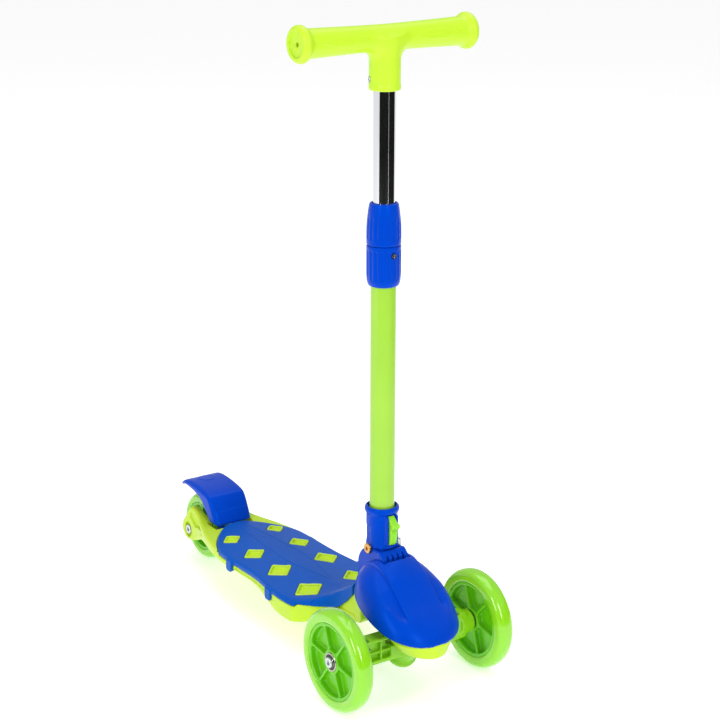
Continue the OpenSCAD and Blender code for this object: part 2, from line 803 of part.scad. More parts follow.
module front_tyre_left() { color(lime) at_front(1) tyre(front_r, front_rim_r); }
module front_core_left() { color(deep_green) at_front(1) wheel_core(front_rim_r, 6); }
module front_bearings_left() { color(steel) at_front(1) bearings(); }
module front_sleeve_left() { color(steel) at_front(1) sleeve(); }
module front_tyre_right() { color(lime) at_front(-1) tyre(front_r, front_rim_r); }
module front_core_right() { color(deep_green) at_front(-1) wheel_core(front_rim_r, 6); }
module front_bearings_right() { color(steel) at_front(-1) bearings(); }
module front_sleeve_right() { color(steel) at_front(-1) sleeve(); }
module rear_tyre() { color(lime) at_rear() tyre(rear_r, rear_rim_r); }
module rear_core() { color(deep_green) at_rear() wheel_core(rear_rim_r, 5); }
module rear_bearings() { color(steel) at_rear() bearings(); }
module rear_sleeve() { color(steel) at_rear() sleeve(); }

module rear_axle_bolt() {
    color(steel) at_rear() difference() {
        union() {
            bar_x(-arm_out + 1, arm_out + 1.6, axle_r);
            bar_x(-arm_out, -arm_out + bolt_head_t - gap, bolt_head_r);
        }
        bar_x(-arm_out - 1, -arm_out + 2, 2.6);
    }
}

module rear_axle_nut() {
    color(steel) at_rear() translate([arm_out - bolt_head_t + gap, 0, 0]) rotate([0, 90, 0])
        difference() {
            hex(nut_r, nut_t - 1);
            translate([0, 0, -1]) cylinder(h = nut_t + 2, r = axle_r + seat);
        }
}

module rear_axle_spacers() {
    color(steel) at_rear() pair()
        ring_x(hub_half + gap, arm_in - seat, axle_r + 2.5, axle_r + seat);
}

// --- Folding head and stem -------------------------------------------------------

module head_tube() {
    rim_r = head_r + 2.1;
    color(blue) at_stem() difference() {
        union() {
            translate([0, 0, head_low_z]) cylinder(h = head_top_z - 10 - head_low_z, r = head_r);
            rotate_extrude() polygon(concat([[0, head_top_z - 12], [head_r, head_top_z - 12]],
                arc([rim_r - 3, head_top_z - 5], 3, -60, 90, 6),
                [[0, head_top_z - 2]]));
            // tongue between the bracket's cheeks
            translate([0, 0, pivot_z]) bar_x(-cheek_in + moving_gap, cheek_in - moving_gap,
                tongue_r);
            translate([-cheek_in + moving_gap, -tongue_r, pivot_z])
                cube([2 * (cheek_in - moving_gap), 2 * tongue_r - 2, 8]);
            // frame around the latch lever
            pair() translate([latch_half + moving_gap, latch_pin_y - 2.6, latch_pin_z - 18])
                cube([2.6, 8, 36]);
        }
        // seat of the stem tube, and the open collar at its mouth
        translate([0, 0, tube_low_z]) cylinder(h = 90, r = stem_r + seat);
        translate([0, 0, head_top_z - 6]) cylinder(h = 9, r = stem_r + 2.2);
        translate([0, 0, pivot_z]) bar_x(-60, 60, fold_r + run);
        // the flanks behind the cheeks are cut away so that the head can fold back
        pair() translate([cheek_in - moving_gap, -2.5, head_low_z - 1]) cube([20, 40, 27]);
        // slot of the latch lever
        translate([-latch_half - moving_gap, -head_r - 20, latch_pin_z - 19])
            cube([latch_w + 2 * moving_gap, 20 + head_wall - 0.8, 38.5]);
        translate([0, latch_pin_y, latch_pin_z])
            bar_x(-latch_half - 3, latch_half + 3, latch_pin_r + seat);
    }
}

module stem_tube() {
    color("#a9dc3c") at_stem() difference() {
        translate([0, 0, tube_low_z + gap])
            cylinder(h = collar_mid_z + 14 - tube_low_z, r = stem_r);
        translate([0, 0, tube_low_z - 1]) cylinder(h = 600, r = stem_in_r);
    }
}

module fold_bolt() {
    color("#c9a25a") at_stem() translate([0, 0, pivot_z]) difference() {
        union() {
            bar_x(-cheek_out - 1, cheek_out + 6, fold_r);
            translate([-head_r - 3.4, 0, 0]) rotate([0, 90, 0]) cylinder(h = 3.1, r = 6.2);
        }
        translate([-head_r - 4, 0, 0]) rotate([0, 90, 0]) hex(2.8, 2.6);
    }
}

module fold_nut() {
    color(steel) at_stem() translate([head_r + gap, 0, pivot_z]) rotate([0, 90, 0])
        difference() {
            hex(7, 5);
            translate([0, 0, -1]) cylinder(h = 8, r = fold_r + seat);
        }
}

module latch_lever() {
    y0 = latch_pin_y + 2.2;
    color(lime) at_stem() difference() {
        side_plate(-latch_half, latch_half) polygon([[y0, latch_pin_z - 16],
            [y0 - 3.5, latch_pin_z - 17.5], [y0 - 6.5, latch_pin_z - 15],
            [y0 - 8, latch_pin_z], [y0 - 13, latch_pin_z + 6],
            [y0 - 13, latch_pin_z + 9.5], [y0 - 0.8, latch_top_z - 2.5],
            [y0, latch_top_z - 3.5]]);
        translate([0, latch_pin_y, latch_pin_z]) bar_x(-20, 20, latch_pin_r + run);
        translate([0, y0 + 1, latch_pin_z - 10]) rotate([90, 0, 0]) cylinder(h = 5, r = 2.7);
    }
}

module latch_pin() {
    color(steel) at_stem() translate([0, latch_pin_y, latch_pin_z])
        bar_x(-latch_half - 2.9, latch_half + 2.9, latch_pin_r);
}

// A small coil between a pocket in the lever's foot and the head's wall
module latch_spring() {
    color(steel) at_stem()
        translate([0, -head_r + head_wall - 0.8 - seat, latch_pin_z - 10]) rotate([90, 0, 0])
            coil(1.9, 0.7, 5.6, 4);
}

// Lengthwise flutes around a collar
module flutes(z0, h) {
    for (i = [0 : flute_count - 1]) rotate((i + 0.5) * 360 / flute_count)
        translate([collar_r + 1.6, 0, z0]) cylinder(h = h, r = 2.3, $fn = 24);
}

module collar_base() {
    color(blue) at_stem() difference() {
        rotate_extrude() polygon(concat([[stem_r + seat, collar_z]],
            arc([collar_r - 4, collar_z + 4], 4, -90, 0, 5),
            [[collar_r, collar_mid_z], [sleeve_r, collar_mid_z],
                [sleeve_r, collar_mid_z + 15], [stem_r + seat, collar_mid_z + 15]]));
        flutes(collar_z + 9, collar_h - 14);
        translate([0, -collar_r + 1, collar_mid_z - 10]) rotate([90, 0, 0])
            cylinder(h = 8, r = 3.4);
        translate([0, -stem_r, collar_mid_z - 10]) rotate([90, 0, 0])
            cylinder(h = 9, r = 1.6, center = true);
    }
}

module collar_screw() {
    color(steel) at_stem() translate([0, -collar_r + 1, collar_mid_z - 10]) rotate([90, 0, 0])
        difference() {
            union() {
                translate([0, 0, gap]) cylinder(h = 1.8, r = 3.1);
                translate([0, 0, -collar_wall + 1.2]) cylinder(h = collar_wall, r = 1.5);
            }
            translate([0, 0, 1.2]) hex(1.5, 2);
        }
}

module clamp_nut() {
    low = collar_mid_z + gap;
    color(blue) at_stem() difference() {
        rotate_extrude() polygon(concat([[sleeve_r + run, low], [collar_r, low],
            [collar_r, collar_top_z - 22]],
            smooth([[collar_r - 0.1, collar_top_z - 21], [collar_r - 1, collar_top_z - 12],
                [inner_r + 3.2, collar_top_z - 1], [inner_r + 2, collar_top_z]], 4),
            [[inner_r + run, collar_top_z], [inner_r + run, collar_mid_z + 16],
                [sleeve_r + run, collar_mid_z + 16]]));
        flutes(low + 5, collar_h - 18);
    }
}

// --- Handlebar -------------------------------------------------------------------

module inner_tube() {
    color("silver") at_stem() difference() {
        translate([0, 0, tube_top_z - inner_len]) cylinder(h = inner_len, r = inner_r);
        translate([0, 0, tube_top_z - inner_len - 1])
            cylinder(h = inner_len + 2, r = inner_r - inner_wall);
    }
}

module tube_glide() {
    low = tube_top_z - inner_len - 12;
    color(black) at_stem() difference() {
        union() {
            translate([0, 0, low]) cylinder(h = 12 - seat, r = stem_in_r - run);
            translate([0, 0, low + 1]) cylinder(h = 20, r = inner_r - inner_wall - seat);
        }
        translate([0, 0, low - 1]) cylinder(h = 40, r = inner_r - inner_wall - 2);
    }
}

// The bar's outline: thick grips with round flanges, thinner towards the neck
function bar_outline(x) = bar_mid_d / 2 + (grip_d - bar_mid_d) / 2 * pow(x / bar_half, 1.5);

module handlebar() {
    flange_w = 9;
    color(lime) at_stem() difference() {
        union() {
            translate([0, 0, bar_height]) pair() rotate([0, 90, 0]) rotate_extrude() polygon(concat(
                [[0, 0]],
                [for (i = [0 : 6]) let (x = (bar_half - flange_w) * i / 6) [bar_outline(x), x]],
                smooth([[flange_d / 2 - 0.8, bar_half - flange_w + 0.6],
                    [flange_d / 2, bar_half - flange_w / 2], [flange_d / 2 - 1, bar_half - 1.6],
                    [flange_d / 2 - 4, bar_half]], 3),
                [[0, bar_half]]));
            translate([0, 0, neck_low_z]) cylinder(h = neck_drop, r = neck_r);
            translate([0, 0, bar_height - 32]) cylinder(h = 32, r1 = neck_r, r2 = neck_r + 3);
        }
        translate([0, 0, neck_low_z - 1]) cylinder(h = tube_top_z - neck_low_z + 1 + seat,
            r = inner_r + seat);
        translate([0, 0, bar_height]) pair() {
            bar_x(bar_half - end_hole_depth, bar_half + 1, end_hole_r);
            ring_x(bar_half - 1.2, bar_half + 1, flange_d / 2 - 6, end_hole_r + 2);
        }
        rotate(-22) translate([0, 0, neck_low_z + 12]) {
            bar_x(-30, -inner_r + 4, 1.6);
            bar_x(-30, -neck_r + 1.6, 3.6);
        }
    }
}

module handlebar_screw() {
    color(steel) at_stem() rotate(-22) translate([0, 0, neck_low_z + 12]) difference() {
        union() {
            bar_x(-neck_r - 0.4, -neck_r + 1.3, 3.3);
            bar_x(-neck_r + 1, -inner_r - 0.4, 1.5);
        }
        translate([-neck_r - 1, 0, 0]) rotate([0, 90, 0]) hex(1.6, 1.5);
    }
}

// --- Fender brake ----------------------------------------------------------------

// Side view of the fender, drawn inwards by d
function fender_top(d) = smooth([[foot_y + d, foot_z], [foot_y + 8 + d, foot_z + 18],
    [foot_y + 15 + d, foot_z + 29 - d], [foot_y + 23 + d / 2, foot_z + 34 - d],
    [foot_y + 40, foot_z + 38 - d], [foot_y + 64, foot_z + 40.5 - d],
    [foot_y + 86, foot_z + 40 - d], [foot_y + 95.5 - d, foot_z + 36 - d]], 4);
fender_low = smooth([[foot_y + 94, foot_z + 32.5], [foot_y + 80, foot_z + 33],
    [foot_y + 60, foot_z + 30], [foot_y + 42, foot_z + 24], [foot_y + 30, foot_z + 13],
    [foot_y + 20, foot_z + 2], [foot_y + 16, foot_z - 2], [foot_y, foot_z - 2]], 3);

module fender() {
    pad_r = rear_r + 4;
    color(blue) at_stem() difference() {
        union() {
            difference() {
                side_plate(-fender_half, fender_half)
                    polygon(concat(fender_top(0), fender_low));
                side_plate(-fender_half + fender_wall, fender_half - fender_wall)
                    polygon(concat(fender_top(fender_wall),
                        [[foot_y + 93, foot_z - 30], [foot_y + fender_wall, foot_z - 30]]));
            }
            // ears around the pin, and the brake shoe over the tyre
            pair() side_plate(8, 14) polygon(concat(
                arc([fender_pin_y, fender_pin_z], 5.5, 180, 360, 8),
                [[fender_pin_y + 7, foot_z + 12], [fender_pin_y - 6, foot_z + 12]]));
            side_plate(-9, 9) polygon([[foot_y + fender_wall, foot_z + 4],
                [foot_y + 20, foot_z + 4], [foot_y + 44, foot_z + 24],
                [foot_y + 90, foot_z + 24], [foot_y + 90, foot_z + 37],
                [foot_y + 40, foot_z + 36], [foot_y + 16, foot_z + 27]]);
        }
        translate([0, rear_y, rear_r]) bar_x(-60, 60, pad_r);
        translate([0, fender_pin_y, fender_pin_z]) bar_x(-60, 60, fender_pin_r + run);
    }
}

module fender_pin() {
    color(steel) at_stem() translate([0, fender_pin_y, fender_pin_z])
        bar_x(-fender_half - 7, fender_half + 7, fender_pin_r);
}

// Return spring, coiled around the pin between the fender's ears
module fender_spring() {
    color(steel) at_stem() translate([-7.6, fender_pin_y, fender_pin_z]) rotate([0, 90, 0])
        coil(fender_pin_r + 1, 1.4, 15.2, 6);
}

deck_base();
deck_mat();
hood();
fold_bracket();
bracket_screws();
hood_screws();
king_pin();
king_nut();
centring_spring_left();
centring_spring_right();
rear_axle_bolt();
rear_axle_nut();
rear_axle_spacers();
fender_pin();
fender_spring();
truck_beam();
king_bushes();
front_axle_bolts();
front_axle_nuts();
front_washers();
front_tyre_left();
front_core_left();
front_bearings_left();
front_sleeve_left();
front_tyre_right();
front_core_right();
front_bearings_right();
front_sleeve_right();
rear_tyre();
rear_core();
rear_bearings();
rear_sleeve();
head_tube();
stem_tube();
fold_bolt();
fold_nut();
collar_base();
collar_screw();
latch_lever();
latch_pin();
latch_spring();
clamp_nut();
inner_tube();
tube_glide();
handlebar();
handlebar_screw();
fender();
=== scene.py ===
"""The looks of a child's three-wheeled kick scooter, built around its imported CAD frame.

Moulded pieces are drawn as smooth distance fields in millimetres, in the stem's own
frame (the origin is on the ground under the stem, the rider faces -Y), and turned into
meshes. Turned pieces are lathed, and springs and ribs are made with Geometry Nodes.
"""

import json
import math

import bmesh
import bpy
import numpy as np
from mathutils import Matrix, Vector


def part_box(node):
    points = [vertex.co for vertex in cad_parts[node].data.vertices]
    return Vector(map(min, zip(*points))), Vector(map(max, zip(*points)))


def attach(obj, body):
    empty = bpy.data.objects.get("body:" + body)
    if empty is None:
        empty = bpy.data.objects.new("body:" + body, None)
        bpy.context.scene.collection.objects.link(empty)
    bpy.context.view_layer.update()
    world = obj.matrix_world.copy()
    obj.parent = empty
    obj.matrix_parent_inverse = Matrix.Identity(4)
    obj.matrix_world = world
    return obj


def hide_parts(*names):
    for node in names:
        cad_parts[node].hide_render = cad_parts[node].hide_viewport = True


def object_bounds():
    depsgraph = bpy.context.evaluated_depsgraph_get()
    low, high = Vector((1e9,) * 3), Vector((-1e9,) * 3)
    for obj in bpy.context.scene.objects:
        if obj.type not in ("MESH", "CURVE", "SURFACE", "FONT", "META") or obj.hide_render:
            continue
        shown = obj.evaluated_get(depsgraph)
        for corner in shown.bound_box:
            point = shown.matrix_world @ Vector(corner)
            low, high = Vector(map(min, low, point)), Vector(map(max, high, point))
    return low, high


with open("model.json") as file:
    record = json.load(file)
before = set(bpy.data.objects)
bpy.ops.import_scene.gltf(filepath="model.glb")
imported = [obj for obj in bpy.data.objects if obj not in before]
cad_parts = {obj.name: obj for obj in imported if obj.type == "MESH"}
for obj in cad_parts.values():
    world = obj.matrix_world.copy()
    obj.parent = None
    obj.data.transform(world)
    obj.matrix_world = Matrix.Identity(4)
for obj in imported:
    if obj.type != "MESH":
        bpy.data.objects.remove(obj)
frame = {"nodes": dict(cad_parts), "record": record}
cad_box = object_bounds()

MM = 0.001


def node_mm(name):
    """The lowest and highest corner of a CAD node, in millimetres."""
    return [np.array(corner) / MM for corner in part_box(name)]


STEM_Y = float(sum(c[1] for c in node_mm("stem_tube")) / 2)
STEM = np.array([0.0, STEM_Y, 0.0])


def stem_box(name):
    """The same corners in the stem's own frame."""
    return [corner - STEM for corner in node_mm(name)]


# ---------------------------------------------------------------------------- sizes
stem_lo, stem_hi = stem_box("stem_tube")
STEM_R = stem_hi[0]
INNER_R = stem_box("inner_tube")[1][0]
bar_lo, bar_hi = stem_box("handlebar")
BAR_HALF = bar_hi[0]
FLANGE_R = bar_hi[1]
BAR_Z = bar_hi[2] - FLANGE_R
NECK_LOW = bar_lo[2]
collar_lo, collar_hi = stem_box("collar_base")
COLLAR_R = collar_hi[0]
clamp_lo, clamp_hi = stem_box("clamp_nut")
HEAD_TOP = stem_box("head_tube")[1][2]
HEAD_R = STEM_R + 3.72
tyre_lo, tyre_hi = stem_box("front_tyre_left")
FRONT_R = (tyre_hi[2] - tyre_lo[2]) / 2
WHEEL_X = (tyre_hi[0] + tyre_lo[0]) / 2
TYRE_HALF = (tyre_hi[0] - tyre_lo[0]) / 2
FRONT_Y = (tyre_hi[1] + tyre_lo[1]) / 2
rear_lo, rear_hi = stem_box("rear_tyre")
REAR_R = (rear_hi[2] - rear_lo[2]) / 2
REAR_Y = (rear_hi[1] + rear_lo[1]) / 2
core_lo, core_hi = stem_box("front_core_left")
FRONT_RIM = (core_hi[2] - core_lo[2]) / 2
rear_core_lo, rear_core_hi = stem_box("rear_core")
REAR_RIM = (rear_core_hi[2] - rear_core_lo[2]) / 2

# ------------------------------------------------------------------- distance fields
# Every function takes arrays in millimetres that broadcast against each other, and is
# negative inside.


def length(*parts):
    return np.sqrt(sum(p * p for p in parts))


def smooth_min(a, b, k):
    """Union with a fillet about k wide."""
    h = np.clip(0.5 + 0.5 * (b - a) / k, 0, 1)
    return b * (1 - h) + a * h - k * h * (1 - h)


def smooth_max(a, b, k):
    """Intersection with its edge rounded about k wide."""
    return -smooth_min(-a, -b, k)


def cut(a, b, k=0.8):
    """a without b, with its edges eased."""
    return smooth_max(a, -b, k)


def block(x, y, z, centre, half, r=1.0):
    """A box with rounded edges."""
    q = [np.abs(v - c) - (h - r) for v, c, h in zip((x, y, z), centre, half)]
    outside = length(*(np.maximum(v, 0) for v in q))
    return outside + np.minimum(np.maximum(q[0], np.maximum(q[1], q[2])), 0) - r


def rod(u, v, w, r, w0, w1, ease=0.8):
    """A cylinder of radius r about the w axis from w0 to w1, with eased ends."""
    side = length(u, v) - r
    ends = np.abs(w - (w0 + w1) / 2) - (w1 - w0) / 2
    return smooth_max(side, ends, ease)


def polygon(u, v, points):
    """Distance to a closed outline."""
    u, v = np.broadcast_arrays(u, v)
    best = np.full(u.shape, 1e9)
    inside = np.zeros(u.shape, bool)
    for (au, av), (bu, bv) in zip(points, points[1:] + points[:1]):
        eu, ev = bu - au, bv - av
        span = eu * eu + ev * ev
        if span < 1e-9:
            continue
        t = np.clip(((u - au) * eu + (v - av) * ev) / span, 0, 1)
        best = np.minimum(best, (u - au - t * eu) ** 2 + (v - av - t * ev) ** 2)
        if av != bv:
            crossing = (v < max(av, bv)) & (v >= min(av, bv))
            inside ^= crossing & (u < au + (v - av) * eu / (bv - av))
    return np.where(inside, -1, 1) * np.sqrt(best)


def through(points, n=6):
    """A smooth curve through the points, with n steps between two neighbours."""
    p = [np.array(q, float) for q in points]
    made = []
    for i in range(len(p) - 1):
        a, b, c, d = p[max(i - 1, 0)], p[i], p[i + 1], p[min(i + 2, len(p) - 1)]
        for k in range(n):
            t = k / n
            made.append(tuple(0.5 * (2 * b + (c - a) * t + (2 * a - 5 * b + 4 * c - d) * t * t
                                     + (3 * b - a - 3 * c + d) * t ** 3)))
    made.append(tuple(p[-1]))
    return made


def profile(v, points):
    """A smooth function of v through the points, held level beyond its ends."""
    curve = through(points)
    return np.interp(v, [p[0] for p in curve], [p[1] for p in curve])


def mirrored(half):
    """A closed outline from its right-hand half."""
    return half + [(-u, v) for u, v in reversed(half) if abs(u) > 1e-6]


# ---------------------------------------------------------------------------- meshes
def make_object(name, vertices, faces, material, smooth=True):
    mesh = bpy.data.meshes.new(name)
    mesh.from_pydata([tuple(v) for v in vertices], [], faces)
    mesh.validate()
    mesh.polygons.foreach_set("use_smooth", [smooth] * len(mesh.polygons))
    mesh.materials.append(material)
    mesh.update()
    piece = bpy.data.objects.new(name, mesh)
    bpy.context.scene.collection.objects.link(piece)
    return piece


def finish_piece(piece, body, stands_for=()):
    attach(piece, body)
    if stands_for:
        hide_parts(*stands_for)
    return piece


def field_mesh(name, field, low, high, cell, material, at=STEM, settle=3):
    """A mesh of a field's zero surface: one vertex in each grid cell that it crosses,
    joined across the grid's edges, then drawn onto the surface itself."""
    low, high = np.array(low, float), np.array(high, float)
    count = np.ceil((high - low) / cell).astype(int) + 1
    axes = [low[i] + cell * np.arange(count[i]) for i in range(3)]
    grid = np.broadcast_to(field(axes[0][:, None, None], axes[1][None, :, None],
                                 axes[2][None, None, :]), count).astype(np.float32)
    inside = grid < 0
    corner = [(i, j, k) for i in (0, 1) for j in (0, 1) for k in (0, 1)]

    def part(a, c):
        return a[c[0]:count[0] - 1 + c[0], c[1]:count[1] - 1 + c[1], c[2]:count[2] - 1 + c[2]]

    total = sum(part(inside, c).astype(np.int8) for c in corner)
    cells = np.argwhere((total > 0) & (total < 8))
    index = np.full(count - 1, -1, np.int64)
    index[tuple(cells.T)] = np.arange(len(cells))
    sums, hits = np.zeros((len(cells), 3)), np.zeros(len(cells))
    for a in corner:
        for axis in range(3):
            if a[axis]:
                continue
            b = tuple(1 if i == axis else a[i] for i in range(3))
            fa, fb = grid[tuple((cells + a).T)], grid[tuple((cells + b).T)]
            crossed = (fa < 0) != (fb < 0)
            t = np.where(crossed, fa / np.where(crossed, fa - fb, 1), 0)
            point = np.tile(np.array(a, float), (len(cells), 1))
            point[:, axis] += t
            sums[crossed] += point[crossed]
            hits += crossed
    vertices = low + cell * (cells + sums / hits[:, None])
    faces = []
    for axis in range(3):
        u, v = (axis + 1) % 3, (axis + 2) % 3
        step = np.zeros(3, int)
        step[axis] = 1
        ends = count - step
        first = inside[:ends[0], :ends[1], :ends[2]]
        second = inside[step[0]:, step[1]:, step[2]:]
        for flip in (False, True):
            edges = np.argwhere((first & ~second) if not flip else (~first & second))
            edges = edges[(edges[:, u] > 0) & (edges[:, v] > 0)]
            edges = edges[(edges[:, u] < count[u] - 1) & (edges[:, v] < count[v] - 1)]
            around = []
            for du, dv in ((-1, -1), (0, -1), (0, 0), (-1, 0)):
                shifted = edges.copy()
                shifted[:, u] += du
                shifted[:, v] += dv
                around.append(index[tuple(shifted.T)])
            quads = np.stack(around if not flip else around[::-1], axis=1)
            faces.append(quads[(quads >= 0).all(axis=1)])
    quads = np.concatenate(faces)
    near = np.concatenate([quads[:, [i, (i + 1) % 4]] for i in range(4)])
    near = np.concatenate([near, near[:, ::-1]])
    degree = np.maximum(np.bincount(near[:, 0], minlength=len(vertices)), 1)[:, None]
    h = cell * 0.05
    for turn in range(settle + 1):
        if turn in (1, 2):
            middle = np.stack([np.bincount(near[:, 0], vertices[near[:, 1], i], len(vertices))
                               for i in range(3)], axis=1) / degree
            vertices = vertices * 0.5 + middle * 0.5
        x, y, z = vertices.T
        f = field(x, y, z)
        slope = np.stack([(field(x + h, y, z) - field(x - h, y, z)),
                          (field(x, y + h, z) - field(x, y - h, z)),
                          (field(x, y, z + h) - field(x, y, z - h))], axis=1) / (2 * h)
        size = np.maximum((slope ** 2).sum(axis=1), 0.2)
        move = -slope * (f / size)[:, None]
        reach = np.maximum(np.linalg.norm(move, axis=1) / (0.45 * cell), 1)
        vertices = vertices + move / reach[:, None]
    return make_object(name, (vertices + at) * MM, quads.tolist(), material)


def lathe(name, outline, axis, centre, material, turns=96, closed=True):
    """A turned piece: outline is a list of (radius, distance along the axis) in
    millimetres, and a radius may be a function of the angle."""
    u, v = [(1, 2), (2, 0), (0, 1)][axis]
    angles = [2 * math.pi * k / turns for k in range(turns)]
    vertices, faces = [], []
    for r, w in outline:
        for a in angles:
            point = [0.0, 0.0, 0.0]
            reach = r(a) if callable(r) else r
            point[axis] = centre[axis] + w
            point[u] = centre[u] + reach * math.cos(a)
            point[v] = centre[v] + reach * math.sin(a)
            vertices.append([(p + s) * MM for p, s in zip(point, STEM)])
    rings = len(outline)
    for i in range(rings if closed else rings - 1):
        for k in range(turns):
            a, b = i * turns + k, i * turns + (k + 1) % turns
            c = ((i + 1) % rings) * turns + (k + 1) % turns
            d = ((i + 1) % rings) * turns + k
            faces.append((a, b, c, d))
    if not closed:
        faces.append(tuple(range(turns))[::-1])
        faces.append(tuple((rings - 1) * turns + k for k in range(turns)))
    piece = make_object(name, vertices, faces, material)
    mend_normals(piece)
    return piece


def mend_normals(piece):
    mesh = bmesh.new()
    mesh.from_mesh(piece.data)
    bmesh.ops.remove_doubles(mesh, verts=mesh.verts, dist=1e-6)
    bmesh.ops.recalc_face_normals(mesh, faces=mesh.faces)
    mesh.to_mesh(piece.data)
    mesh.free()
    piece.data.update()


def soften(piece, angle=35):
    """Smooth shading with creases kept where faces meet at more than the angle."""
    piece.data.set_sharp_from_angle(angle=math.radians(angle))


# -------------------------------------------------------------------------- materials
def hex_colour(code):
    """An sRGB hex value as linear RGBA."""
    channel = [int(code[i:i + 2], 16) / 255 for i in (1, 3, 5)]
    return [c / 12.92 if c <= 0.04045 else ((c + 0.055) / 1.055) ** 2.4 for c in channel] + [1.0]


def add_node(tree, kind, links=None, **settings):
    """Adds a node; settings are its properties or, in input order or by name, its
    inputs, and links joins its inputs to other nodes' outputs."""
    node = tree.nodes.new(kind)
    for key, value in settings.items():
        if hasattr(node, key):
            setattr(node, key, value)
        else:
            node.inputs[key.replace("_", " ")].default_value = value
    for key, source in (links or {}).items():
        tree.links.new(source, node.inputs[key])
    return node


def new_material(name):
    material = bpy.data.materials.new(name)
    material.use_nodes = True
    tree = material.node_tree
    tree.nodes.clear()
    shader = tree.nodes.new("ShaderNodeBsdfPrincipled")
    output = tree.nodes.new("ShaderNodeOutputMaterial")
    tree.links.new(shader.outputs["BSDF"], output.inputs["Surface"])
    return material, tree, shader


def set_shader(shader, **values):
    for key, value in values.items():
        shader.inputs[key.replace("_", " ")].default_value = value


def blotch(tree, place, scale_mm, detail=3.0):
    """Noise whose blotches are about scale_mm across."""
    return add_node(tree, "ShaderNodeTexNoise", {"Vector": place}, Scale=1 / (scale_mm * MM),
                    Detail=detail).outputs["Fac"]


def between(tree, factor, low, high):
    return add_node(tree, "ShaderNodeMapRange", {"Value": factor}, To_Min=low,
                    To_Max=high).outputs["Result"]


def moulded(name, colour, shade, roughness, grain_mm=1.6, grain=0.05, **more):
    """A moulded or cast plastic: slight drifts of colour from the flow of the melt, a
    fine grain from the tool, and a gloss that varies a little."""
    material, tree, shader = new_material(name)
    place = add_node(tree, "ShaderNodeTexCoord").outputs["Object"]
    drift = blotch(tree, place, 45)
    mix = add_node(tree, "ShaderNodeMix", {"Factor": drift}, data_type="RGBA")
    mix.inputs[6].default_value = hex_colour(colour)
    mix.inputs[7].default_value = hex_colour(shade)
    tree.links.new(mix.outputs[2], shader.inputs["Base Color"])
    gloss = between(tree, blotch(tree, place, 12), roughness - 0.04, roughness + 0.05)
    tree.links.new(gloss, shader.inputs["Roughness"])
    bump = add_node(tree, "ShaderNodeBump", {"Height": blotch(tree, place, grain_mm, 2)},
                    Strength=grain, Distance=0.0004)
    tree.links.new(bump.outputs["Normal"], shader.inputs["Normal"])
    set_shader(shader, **more)
    return material


def metal(name, colour, roughness, streak_mm=(0.5, 0.5, 12), streak=0.06, **more):
    """A bare or plated metal with fine marks from how it was drawn, turned or plated."""
    material, tree, shader = new_material(name)
    place = add_node(tree, "ShaderNodeTexCoord").outputs["Object"]
    stretch = add_node(tree, "ShaderNodeMapping", {"Vector": place})
    stretch.inputs["Scale"].default_value = [1 / (s * MM) for s in streak_mm]
    marks = add_node(tree, "ShaderNodeTexNoise", {"Vector": stretch.outputs["Vector"]},
                     Scale=1.0, Detail=2.0).outputs["Fac"]
    tone = add_node(tree, "ShaderNodeMix", {"Factor": marks}, data_type="RGBA")
    tone.inputs[6].default_value = hex_colour(colour)
    tone.inputs[7].default_value = [c * 0.86 for c in hex_colour(colour)[:3]] + [1.0]
    tree.links.new(tone.outputs[2], shader.inputs["Base Color"])
    gloss = between(tree, marks, max(roughness - streak, 0.02), roughness + streak)
    tree.links.new(gloss, shader.inputs["Roughness"])
    set_shader(shader, Metallic=1.0, **more)
    return material


# Injection-moulded polypropylene: satin, evenly coloured, a soft broad highlight
lime_pp = moulded("lime_polypropylene", "#8ed016", "#82c60f", 0.34, Subsurface_Weight=0.12,
                  Subsurface_Scale=0.004, IOR=1.49)
bar_pp = moulded("yellow_lime_polypropylene", "#bfe628", "#b6de20", 0.36, Subsurface_Weight=0.15,
                 Subsurface_Scale=0.005, IOR=1.49)
lever_pp = moulded("bright_lime_polypropylene", "#93e014", "#88d60e", 0.32,
                   Subsurface_Weight=0.12, Subsurface_Scale=0.004, IOR=1.49)
base_pp = moulded("yellow_green_polypropylene", "#bfdf1a", "#b6d812", 0.34,
                  Subsurface_Weight=0.12, Subsurface_Scale=0.004, IOR=1.49)
# Injection-moulded ABS: deeper gloss than polypropylene, with small sharp highlights
blue_abs = moulded("blue_abs", "#0042c2", "#003cb4", 0.3, grain=0.03, IOR=1.5,
                   Specular_IOR_Level=0.4, Specular_Tint=(0.03, 0.2, 1, 1))
# Textured polypropylene mat: matt between the grains of its spark-eroded finish, drawn
# at 1.6 mm where the real grain is finer
mat_pp = moulded("blue_textured_polypropylene", "#0654b8", "#044cac", 0.44, grain=0.16,
                 grain_mm=1.3, IOR=1.49, Specular_IOR_Level=0.4,
                 Specular_Tint=(0.03, 0.3, 1, 1))
# Cast polyurethane tyre: glassy skin, light passes a little way into it
tyre_pu = moulded("lime_cast_polyurethane", "#90d722", "#84cd1a", 0.13, grain=0.015,
                  grain_mm=6, Subsurface_Weight=0.35, Subsurface_Scale=0.006, IOR=1.5,
                  Coat_Weight=0.4, Coat_Roughness=0.05)
# Moulded polypropylene wheel core: greener and slightly translucent
core_pp = moulded("green_moulded_core", "#6cc80a", "#60bc05", 0.24, grain=0.03,
                  Subsurface_Weight=0.25, Subsurface_Scale=0.005, IOR=1.49)
# Powder-coated steel tube: smooth thick skin with faint orange peel
lime_powder = moulded("lime_powder_coat", "#9cd033", "#94c92d", 0.3, grain=0.08,
                      grain_mm=1.8, Coat_Weight=0.25, Coat_Roughness=0.15, IOR=1.5)
# Acetal and nylon pieces
white_acetal = moulded("white_acetal", "#e4e2d6", "#dad7c8", 0.3)
black_nylon = moulded("black_nylon", "#17181a", "#1f2023", 0.38)
seal_rubber = moulded("black_nitrile_seal", "#1d1a1a", "#262020", 0.5)
